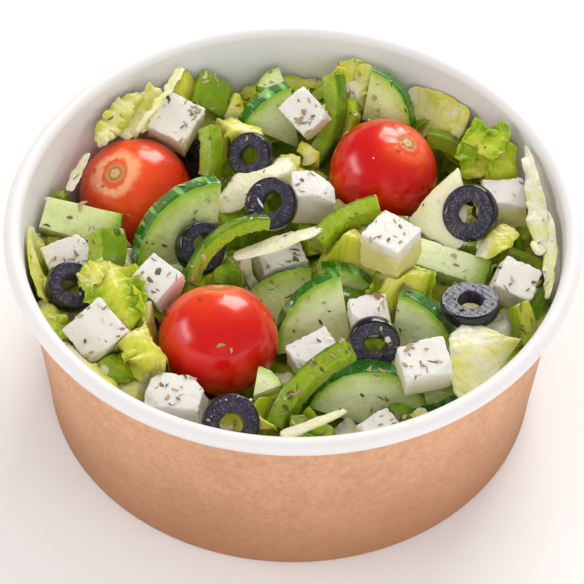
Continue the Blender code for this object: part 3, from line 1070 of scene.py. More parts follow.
# ---- where the toppings lie
@dataclass
class Landscape:
    """Maps over the bowl, a value a cell: undersides and tops of the toppings, top of the heap."""

    cell: float = 0.5
    reach: float = 76.0
    under: Array = field(init=False)
    over: Array = field(init=False)
    bed: Array = field(init=False)

    def __post_init__(self) -> None:
        """Fill the maps from the frame's solids."""
        names = [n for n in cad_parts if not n.startswith(("bowl", "salad"))]
        self.over, self.under = self.heights(names)
        self.bed, _ = self.heights(["salad_bed"])
        self.under = np.minimum(self.under, 66.0)
        for _ in range(6):
            self.under = self.eased(self.under, 2.0 * self.cell)

    def heights(self, names: list[str]) -> tuple[Array, Array]:
        """Highest and lowest point in each cell, from points spread over every triangle.

        Args:
            names: the solids to look at.

        Returns:
            The map of the tops, -1 where there is nothing, and of the undersides, 99 there.
        """
        size = int(2 * self.reach / self.cell) + 1
        high, low = np.full((size, size), -1.0), np.full((size, size), 99.0)
        steps = 26
        i, j = np.meshgrid(np.arange(steps + 1), np.arange(steps + 1), indexing="ij")
        keep = i + j <= steps
        share = coords(i[keep], j[keep], steps - i[keep] - j[keep]) / steps
        for name in names:
            corners = triangles(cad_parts[name].data)
            spread = np.einsum("sk,tkx->tsx", share, corners).reshape(-1, 3)
            cells = self.cells(spread)
            np.maximum.at(high, cells, spread[:, 2])
            np.minimum.at(low, cells, spread[:, 2])
        return high, low

    def cells(self, points: Array) -> tuple[Array, Array]:
        """Find the cells the points lie over.

        Args:
            points: places in the bowl.

        Returns:
            Row and column of each point's cell.
        """
        place = np.round((points[..., :2] + self.reach) / self.cell).astype(int)
        size = int(2 * self.reach / self.cell) + 1
        place = np.clip(place, 0, size - 1)
        return place[..., 0], place[..., 1]

    def sampled(self, heights: Array, points: Array) -> Array:
        """Value of a map at the points, blended between the four cells about each.

        Args:
            heights: the map.
            points: places in the bowl.

        Returns:
            One value a point.
        """
        place = (points[..., :2] + self.reach) / self.cell
        low = np.clip(np.floor(place).astype(int), 0, heights.shape[0] - 2)
        i, j = low[..., 0], low[..., 1]
        part = np.clip(place - low, 0.0, 1.0)
        a, b = part[..., 0], part[..., 1]
        near = heights[i, j] * (1 - a) + heights[i + 1, j] * a
        far = heights[i, j + 1] * (1 - a) + heights[i + 1, j + 1] * a
        return near * (1 - b) + far * b

    @staticmethod
    def eased(heights: Array, rise: float) -> Array:
        """Lower a map where it stands more than `rise` above one of a cell's four neighbours.

        Args:
            heights: the map.
            rise: the greatest rise from a neighbour.

        Returns:
            The lowered map, after one pass.
        """
        result = heights.copy()
        for axis in (0, 1):
            for way in (1, -1):
                result = np.minimum(result, np.roll(heights, way, axis) + rise)
        return result

    def tuck(self, points: Array, margin: float, roofed: bool) -> Array:
        """Press points down under the toppings and in from the wall.

        A height near its limit is bent over below it rather than cut off, and so is a radius: the
        value v with limit m becomes m - s ln(1 + exp((m - v) / s)), s being the softness.

        Args:
            points: places in the bowl.
            margin: how far they stay below an underside.
            roofed: whether the toppings press on them; the wall always does.

        Returns:
            The places, pressed.
        """
        def pressed(value: Array, limit: Array, soft: float) -> Array:
            """Bend values over below their limits."""
            return limit - soft * np.logaddexp(0.0, (limit - value) / soft)

        result = points.copy()
        roof = self.sampled(self.under, points) - margin
        if roofed:
            result[..., 2] = pressed(result[..., 2], roof, 0.5)
        bowl = PaperBowl()
        result[..., 2] = np.clip(result[..., 2], bowl.foot_height + 3.0, bowl.height - 1.6)
        radius = np.hypot(result[..., 0], result[..., 1])
        kept = pressed(radius, bowl.inner(result[..., 2]) - 0.9, 0.8)
        result[..., :2] *= (np.maximum(kept, 0.0) / np.maximum(radius, 1e-6))[..., None]
        return result


# ---- toppings
@dataclass
class Tomato:
    """A small whole tomato: a little flattened, dimpled round its scar."""

    node: str
    radius: float
    half: float
    lie: Lie
    warm: float = 1.0
    # strength of the pale ring round the scar, which is partly a painted reflection
    ring: float = 0.3
    dimple: float = 0.9
    seed: int = 1

    def build(self, skin: Material) -> Object:
        """Make the tomato.

        The body is a flattened globe, drawn in a little unevenly and by shallow folds round the
        stem. Near the stem it sinks by a bell curve, and the scar stands up as a small rough disc.

        Args:
            skin: its finish.

        Returns:
            The tomato.
        """
        rows, cols = 81, 112
        t, a, plain = globe(math.pi * np.linspace(0, 1, rows) ** 1.15, cols, self.radius,
                            self.half)
        uneven = 0.008 * ripple(plain, 30.0, self.seed)
        folds = -0.02 * np.cos(6 * a + self.seed) * np.exp(-((t - 0.34) / 0.16) ** 2)
        points = plain * (1 - np.abs(uneven + folds) * np.sin(t))[..., None]
        sink = self.dimple * np.exp(-(t / 0.26) ** 2)
        disc = 0.30 * (1 - smooth(0.07, 0.12, t)) + 0.12 * np.exp(-((t - 0.19) / 0.03) ** 2)
        crumple = 0.10 * ripple(plain, 1.2, self.seed + 9) * (1 - smooth(0.12, 0.22, t))
        points[..., 2] += disc + crumple - sink
        surface = Surface(points.reshape(-1, 3), grid_quads(rows, cols, True),
                          {"polar": t.ravel(), "ripe": t.ravel() / self.warm,
                           "ring": np.full(t.size, self.ring)}).welded().outward()
        return make_object(self.node, self.lie.settle(surface, plain.reshape(-1, 3), self.node),
                           skin)


@dataclass
class FetaBlock:
    """A cut block of feta with soft edges, broken corners and a crumbly face or two."""

    node: str
    length: float
    width: float
    thickness: float
    lie: Lie
    seed: int = 1
    edge: float = 0.5
    # strength of the tint at the foot, partly juice and partly painted shade
    soak_and_shade: float = 0.7

    def build(self, cheese: Material) -> Object:
        """Make the block.

        A point of the cube is clipped to a block smaller by the edge radius and moved out from
        there by that radius; broken corners push it back to slanting planes, and the faces swell
        and sink by a fraction of a millimetre, more along the edges.

        Args:
            cheese: its finish.

        Returns:
            The block.
        """
        rng = np.random.default_rng(self.seed)
        steps = 30
        t = np.linspace(-1, 1, steps)
        t = np.sign(t) * (1 - (1 - np.abs(t)) ** 1.35)
        u, v = np.meshgrid(t, t, indexing="ij")
        one = np.ones_like(u)
        sides = [np.stack(s, axis=-1).reshape(-1, 3) for s in (
            (one, u, v), (-one, u, v), (u, one, v), (u, -one, v), (u, v, one), (u, v, -one))]
        # faces on opposite sides run opposite ways round, so that all of them point outwards
        quads = grid_quads(steps, steps)
        flips = (False, True, True, False, False, True)
        parts = [Surface(p, quads[:, ::-1] if f else quads) for p, f in zip(sides, flips)]
        cube = joined(parts).welded()
        half = np.array([self.length, self.width, self.thickness]) / 2
        full = cube.points * half
        kept = np.clip(full, -(half - self.edge), half - self.edge)
        out = full - kept
        reach = np.linalg.norm(out, axis=1, keepdims=True)
        points = kept + self.edge * out / np.maximum(reach, 1e-9)
        sharp = (np.abs(cube.points) > 0.82).sum(axis=1) >= 2
        for _ in range(rng.integers(2, 5)):
            way = rng.choice([-1.0, 1.0], 3) * rng.uniform(0.25, 1.0, 3)
            way /= np.linalg.norm(way)
            depth = (points @ way).max() - rng.uniform(0.5, 2.2)
            points -= np.maximum(points @ way - depth, 0.0)[:, None] * way * 0.92
        swell = 0.17 * ripple(points, 9.0, self.seed + 1)
        crumbs = (0.03 + 0.10 * sharp) * ripple(points, 1.7, self.seed + 2)
        crack = -0.32 * np.exp(-(ripple(points, 13.0, self.seed + 3, 5) / 0.05) ** 2) \
            * smooth(0.1, 0.6, ripple(points, 11.0, self.seed + 4))
        normal = points - kept * 0.82
        normal /= np.linalg.norm(normal, axis=1, keepdims=True)
        points = points + normal * (swell + crumbs + crack - 0.12)[:, None]
        surface = Surface(points, cube.quads, {}).outward()
        corners = np.array([[x, y, z] for x in (-1, 1) for y in (-1, 1) for z in (-1, 1)]) * half
        return make_object(self.node, self.lie.settle(surface, corners, self.node, self.soak_and_shade),
                           cheese)


@dataclass
class OliveRing:
    """A slice of pitted olive: bulging skin, rough cut faces, uneven hole."""

    node: str
    radius: float
    hole: float
    thickness: float
    lie: Lie
    seed: int = 1

    def build(self, flesh: Material) -> Object:
        """Make the ring.

        A closed profile, from the hole up over the cut face, round the bulging skin and back
        under, is carried round a circle; the hole's radius changes with the turn, and the cut
        faces are roughened.

        Args:
            flesh: its finish.

        Returns:
            The ring.
        """
        h = self.thickness / 2
        face = np.linspace(0, 1, 12)
        bulge = np.radians(np.linspace(78, -78, 17))
        top = coords(self.hole + 0.35 + (self.radius - 0.85 - self.hole - 0.35) * face, h)
        skin = coords(self.radius - 0.85 + 0.85 * np.cos(bulge), h * np.sin(bulge))
        core = np.linspace(h - 0.35, -h + 0.35, 9)
        hole = coords(self.hole, -core)
        path = np.concatenate([top, skin, top[::-1] * [1, -1], hole])
        cut = np.concatenate([np.ones(12), np.zeros(17), np.ones(12), np.full(9, 0.55)])
        inner = np.concatenate([1 - face, np.zeros(17), face, np.ones(9)])
        cols = 96
        a = np.arange(cols) * TAU / cols
        around = coords(np.cos(a), np.sin(a), 0.0)
        wander = 0.30 * ripple(around, 2.6, self.seed) + 0.10 * ripple(around, 0.9, self.seed + 1)
        r = path[:, 0][:, None] + inner[:, None] ** 2 * wander[None, :]
        z = path[:, 1][:, None]
        points = coords(r * np.cos(a), r * np.sin(a), z)
        rough = cut[:, None] * (0.06 * ripple(points, 1.6, self.seed + 2)
                                + 0.04 * ripple(points, 0.8, self.seed + 3))
        points[..., 2] += np.sign(z) * (rough - 0.10 * cut[:, None])
        squash = 1 - 0.035 * np.abs(np.cos(a + self.seed))
        points[..., :2] *= squash[None, :, None]
        rays = coords(r * 0.55, np.cos(a) * 9, np.sin(a) * 9).reshape(-1, 3)
        surface = Surface(points.reshape(-1, 3), grid_quads(len(path), cols, True, True),
                          {"cut": np.repeat(cut, cols), "rays": rays}).outward()
        limits = np.array([[math.cos(t) * self.radius, math.sin(t) * self.radius, s * h]
                           for t in np.radians(range(0, 360, 12)) for s in (-1, 1)])
        return make_object(self.node, self.lie.settle(surface, limits, self.node), flesh)


@dataclass
class CucumberSlice:
    """A wedge of a round slice, its own X axis running from the middle to the rind."""

    node: str
    radius: float
    angle: float
    thickness: float
    lie: Lie
    square: float = 0.0
    seed: int = 1
    # above 0 painted light on the flesh, below 0 painted shade
    pale: float = 0.2
    striped: float = 0.35
    # strength of the painted shade low on the slice
    soak_and_shade: float = 0.7

    def build(self, flesh: Material) -> Object:
        """Make the slice.

        A profile from the middle out over the face, round the rind and back below is carried
        through the wedge's angle, and both straight cuts are filled between the profile's halves.
        The rind bulges and the faces are a little uneven. Where the inner end is cut square, each
        point is moved sideways by a share of the square's half width that falls outwards.

        Args:
            flesh: its finish.

        Returns:
            The slice.
        """
        h = self.thickness / 2
        soft = min(0.6, h * 0.3)
        rings = 26
        share = np.concatenate([[0.0], np.linspace(0.04, 1.0, rings - 1)])
        top = coords(share * (self.radius - soft), h)
        bend = np.radians(np.linspace(75, 0, 6))
        shoulder = coords(self.radius - soft + soft * np.cos(bend), h - soft + soft * np.sin(bend))
        drop = np.linspace(h - soft, -(h - soft), 8)[1:-1]
        side = coords(self.radius, drop)
        path = np.concatenate([top, shoulder, side, (shoulder * [1, -1])[::-1],
                               (top * [1, -1])[::-1]])
        skin = np.concatenate([np.zeros(rings), [0.0, 0.55, 1, 1, 1, 1], np.ones(len(drop)),
                               [1, 1, 1, 1, 0.55, 0.0], np.zeros(rings)])
        cols = 56
        a = np.radians(self.angle) * (np.linspace(0, 1, cols) - 0.5)
        half = len(path) // 2
        back = coords(0.0, np.linspace(-h, h, 8)[1:])[:7 if self.square else 0]
        loop = np.concatenate([path, back])
        rows = len(loop)
        r = np.repeat(loop[:, 0][:, None], cols, axis=1)
        z = np.repeat(loop[:, 1][:, None], cols, axis=1)
        turn = np.repeat(a[None, :], rows, axis=0)
        shift = self.square * turn / np.radians(self.angle) * (1 - r / self.radius)
        body = Surface(coords(r * np.cos(turn), r * np.sin(turn) + shift, z).reshape(-1, 3),
                       grid_quads(rows, cols), {
            "skin": np.repeat(np.concatenate([skin, np.zeros(len(back))]), cols),
            "radial": r.ravel(), "turn": turn.ravel()})
        across = np.linspace(0, 1, 9)
        parts = [body]
        for k, end in enumerate((a[0], a[-1])):
            upper, lower = path[:half], path[half:][::-1]
            rr = upper[:, 0][:, None] * (1 - across) + lower[:, 0][:, None] * across
            zz = upper[:, 1][:, None] * (1 - across) + lower[:, 1][:, None] * across
            aside = self.square * (k - 0.5) * (1 - rr / self.radius)
            points = coords(rr * math.cos(end), rr * math.sin(end) + aside, zz)
            marks = {"skin": np.repeat(skin[:half], 9) * 0.9, "radial": rr.ravel(),
                     "turn": np.full(rr.size, end)}
            quads = grid_quads(half, 9)
            parts.append(Surface(points.reshape(-1, 3), quads if k else quads[:, ::-1], marks))
        surface = joined(parts).welded().outward()
        outline = surface.points.copy()
        uneven = 0.14 * ripple(outline, 7.0, self.seed) \
            + 0.05 * ripple(outline, 2.0, self.seed + 1)
        surface.points[:, 2] += uneven * np.sign(outline[:, 2]) - 0.04 * np.sign(outline[:, 2])
        bumps = 0.16 * ripple(outline * [1, 1, 0.4], 4.2, self.seed + 2)
        grow = 1 - np.abs(bumps) * smooth(0.85, 1.0, surface.marks["radial"] / self.radius) \
            / self.radius
        surface.points[:, :2] *= grow[:, None]
        radial, turn = surface.marks.pop("radial"), surface.marks.pop("turn")
        own = surface.points
        # seeds lie on rings about the middle, so their pattern is laid out in radius and turn
        surface.marks.update(
            disc=coords(radial * 0.42, turn * 3.2, own[:, 2] * 0.05),
            rays=coords(radial * 0.22, turn * 14.0, own[:, 2] * 0.6),
            bars=coords(own[:, 2] * 0.05, turn * self.radius * 0.26, float(self.seed)),
            share=radial / self.radius, tone=np.full(len(own), self.pale))
        middle = np.array([0.6 * self.radius, 0.0, 0.0])
        surface.points = surface.points - middle
        settled = self.lie.settle(surface, outline - middle, self.node, self.soak_and_shade)
        settled.marks["striped"] = np.full(len(own), self.striped)
        return make_object(self.node, settled, flesh, crease=48)


@dataclass
class PepperStrip:
    """A curved strip of green pepper, skin outside and flesh inside."""

    node: str
    radius: float
    span: float
    width: float
    flesh: float
    lie: Lie
    seed: int = 1
    # painted shade above 0 and painted light below 0 on this strip
    tone: float = 0.2
    ridges: float = 0.0

    def build(self, finish: Material) -> Object:
        """Make the strip.

        A rounded rectangle, as wide as the strip and as thick as the flesh, is carried along an
        arc. It narrows a little to its ends, its skin bulges, and its inner side is lumpy.

        Args:
            finish: its finish.

        Returns:
            The strip.
        """
        half_w, half_f = self.width / 2, self.flesh / 2
        cols, rows = 44, 60
        q = np.arange(cols) * TAU / cols
        power = 0.30
        x = half_f * np.sign(np.cos(q)) * np.abs(np.cos(q)) ** power
        z = half_w * np.sign(np.sin(q)) * np.abs(np.sin(q)) ** power
        skin = smooth(0.55, 0.80, x / half_f)
        t = np.linspace(0, 1, rows)
        span = math.radians(self.span)
        turn = span * (t - 0.5)
        arc = self.radius - self.flesh / 2
        end = np.minimum(t, 1 - t) * span * arc
        taper = np.sqrt(np.clip(1 - (1 - np.clip(end / 0.45, 0, 1)) ** 2, 0.0, 1.0))
        narrow = 0.90 + 0.10 * taper
        plain_x = x[None, :] * narrow[:, None]
        plain_z = z[None, :] * narrow[:, None]
        grid_t = coords(turn[:, None] * arc, plain_x, plain_z)
        lumps = 0.30 * ripple(grid_t, 3.2, self.seed) + 0.12 * ripple(grid_t, 1.4, self.seed + 1)
        inner = 1 - skin[None, :]
        ridge = self.ridges * np.sin(grid_t[..., 0] * TAU / 2.3) * (0.4 + 0.6 * inner)
        dents = 0.12 * np.abs(ripple(grid_t, 5.0, self.seed + 3)) * skin[None, :]
        radial = arc + plain_x - np.abs(lumps) * inner * np.sign(plain_x) * 0.9 \
            - np.abs(ridge) - dents
        sway = 0.25 * ripple(coords(t * 9, t * 0), 7.0, self.seed + 2)
        height = plain_z * (1 - 0.04 * np.abs(lumps)) + sway[:, None]
        points = coords(radial * np.cos(turn)[:, None] - arc, radial * np.sin(turn)[:, None],
                        height)
        # close both ends by rings that shrink to the middle of the section
        shrink = np.array([0.0, 0.45, 0.80, 0.90])[:, None, None]
        first = points[:1].mean(axis=1, keepdims=True) * (1 - shrink) + points[:1] * shrink
        last = points[-1:].mean(axis=1, keepdims=True) * (1 - shrink) + points[-1:] * shrink
        points = np.concatenate([first, points, last[::-1]])
        skins = np.repeat(skin[None, :], rows, axis=0)
        cap = skin[None, :] * np.array([0.0, 0.0, 0.15, 0.85])[:, None]
        skins = np.concatenate([cap, skins, cap[::-1]])
        surface = Surface(points.reshape(-1, 3), grid_quads(rows + 8, cols, True), {
            "skin": skins.ravel(), "tone": np.full(skins.size, self.tone)}).welded().outward()
        plain = coords((arc + x) * np.cos(turn)[:, None] - arc,
                       (arc + x) * np.sin(turn)[:, None], z).reshape(-1, 3)
        return make_object(self.node, self.lie.settle(surface, plain, self.node), finish)


# ---- lettuce
class Tone(Enum):
    """How pale a piece of lettuce is, from deep green at 0 to cream at 1."""

    DARK = 0.12
    GREEN = 0.28
    LIME = 0.42
    YELLOW = 0.62
    PALE = 0.76
    CREAM = 0.93


DARK, GREEN, LIME, YELLOW, PALE, CREAM = Tone


@dataclass
class Leaf:
    """A torn piece of lettuce: a ruffled sheet along a bent midline, in the bowl's own place."""

    path: tuple
    widths: tuple
    tone: Tone
    roll: float = 0.0
    cup: float = 0.0
    frill: float = 0.6
    waves: float = 2.0
    rib: float = 0.2
    thickness: float = 0.5
    seed: int = 1
    brown: float = 0.0
    crinkle: float = 0.0
    # raises or lowers the paleness: partly the leaf's own tone, partly painted light on leaves
    # that lie in shade
    shift: float = 0.0
    free: bool = False

    def surface(self, land: Landscape) -> Surface:
        """Work out the sheet.

        The midline is a bent line through three points. Across it the sheet runs to both sides by
        half its width, turned about the midline by the roll; towards its edges it is cupped by
        the square of the distance, and ruffled by waves that grow with it. A thicker rib follows
        the midline. The sheet is then pressed under the toppings and given its thickness.

        Args:
            land: the maps over the bowl.

        Returns:
            The leaf as a closed surface.
        """
        rows, half = 40, 13
        v = np.linspace(0, 1, rows)
        u = np.linspace(-1, 1, 2 * half + 1)
        start, middle, end = (np.array(p, float) for p in self.path)
        knee = 2 * middle - (start + end) / 2
        line = ((1 - v) ** 2)[:, None] * start + (2 * v * (1 - v))[:, None] * knee \
            + (v ** 2)[:, None] * end
        along = np.gradient(line, axis=0)
        reach = np.linalg.norm(along, axis=1)
        run = np.cumsum(reach)
        along /= reach[:, None]
        side = np.cross(along, [0.0, 0.0, 1.0])
        side /= np.maximum(np.linalg.norm(side, axis=1, keepdims=True), 1e-6)
        up = np.cross(side, along)
        turn = math.radians(self.roll)
        across = math.cos(turn) * side + math.sin(turn) * up
        above = np.cross(across, along)
        w0, w1, w2 = self.widths
        width = w0 * (1 - v) * (1 - 2 * v) + 4 * w1 * v * (1 - v) + w2 * v * (2 * v - 1)
        width = width * (1 - np.abs(2 * v - 1) ** 8.0) ** 0.25
        width = np.maximum(width, 0.5)
        edge = coords(run, self.seed)
        fine = 0.01 + 0.03 * min(self.frill, 1.5)
        broad = 0.02 + 0.08 * min(self.frill, 1.0)
        torn = np.stack([1 + broad * ripple(edge, 7.0, self.seed + k) + fine * ripple(
            edge, 2.4, self.seed + 5 + k) for k in (0, 1)], axis=1)
        spread = np.where(u[None, :] < 0, torn[:, :1], torn[:, 1:])
        s = u[None, :] * width[:, None] / 2 * spread
        flat = coords(s, run[:, None])
        away = np.abs(u)[None, :]
        rng = np.random.default_rng(self.seed + 77)
        lean = rng.uniform(-0.6, 0.6)
        phase = rng.uniform(0, TAU, 4)
        total = max(run[-1], 1.0)
        turns = TAU * self.waves * run[:, None] / total
        sway = np.sin(turns + phase[0] + lean * u * 2) + 0.45 * np.sin(
            2.1 * turns + phase[1] + u)
        side_phase = np.where(u > 0, 0.0, 2.1)[None, :]
        sway = sway * 0.6 + 0.4 * np.sin(1.4 * turns + side_phase + phase[3])
        fray = 0.20 * away ** 5 * np.sin(4.3 * turns + phase[2] - u * 1.7)
        ruffle = self.frill * (away ** 1.8 * sway + fray)
        quilt = np.abs(ripple(flat * [0.5, 1.0], 4.8, self.seed + 11, 14)) * (0.3 + 0.7 * away)
        pucker = 0.8 * self.crinkle * quilt + 0.05 * ripple(flat, 2.6, self.seed + 13) \
            + 0.45 * min(self.frill, 1.2) * ripple(flat, 10.0, self.seed + 12)
        lift = self.cup * away ** 2 + ruffle + pucker
        points = line[:, None, :] + s[..., None] * across[:, None, :] \
            + lift[..., None] * above[:, None, :]
        drift = 0.35 * self.frill * away ** 2 * np.cos(1.7 * turns + phase[2])
        points = points + drift[..., None] * along[:, None, :]
        points = land.tuck(points, 0.6, not self.free)
        normal = grid_normals(points)
        rib = np.exp(-(s / (0.9 + 0.10 * width[:, None])) ** 2) * self.rib
        side_veins = np.exp(-((np.abs(s) * 0.9 - run[:, None] + 60) % 4.6 - 2.3) ** 2 / 0.16) \
            * smooth(0.05, 0.3, away) * (1 - smooth(0.55, 0.95, away)) * min(self.rib, 0.6)
        thick = self.thickness * (0.35 + 0.65 * (1 - away ** 4)) + 1.5 * rib ** 1.5
        upper = points + normal * (0.5 * thick + 0.15 * side_veins)[..., None]
        lower = points - normal * (0.5 * thick)[..., None]
        cols = len(u)
        loop = both(upper, lower)
        base_fade = 0.22 * (1 - smooth(0.0, 0.5, v))[:, None]
        # paleness: the crinkle term is painted light and shade, paler on the crests and darker in
        # the troughs; the shift is partly painted light
        pale = self.tone.value + self.shift + 0.34 * rib + 0.14 * side_veins + base_fade \
            - 0.08 * smooth(0.5, 1.0, away) + 0.06 * ripple(flat, 8.0, self.seed + 21) \
            + 0.10 * min(self.crinkle, 1.0) * (quilt - 0.6)
        pale = pale + 0.10 * smooth(0.9, 1.0, away)
        pale = both(pale, pale + 0.06)
        sheet = coords(s, run[:, None], float(self.seed % 97))
        sheet = both(sheet, sheet)
        rim = smooth(0.82, 1.0, away) * smooth(0.2, 0.9, ripple(flat, 6.0, self.seed + 31))
        rim = both(rim, rim) * self.brown
        quads = grid_quads(rows, 2 * cols, True)
        k = np.arange(cols - 1)
        caps = [coords(b + k, b + k + 1, b + 2 * cols - 2 - k, b + 2 * cols - 1 - k)
                for b in (0, (rows - 1) * 2 * cols)]
        quads = np.concatenate([quads, caps[0][:, ::-1], caps[1]])
        marks = {"pale": pale.ravel(), "sheet": sheet.reshape(-1, 3), "brown": rim.ravel()}
        return Surface(loop.reshape(-1, 3), quads, marks).outward()


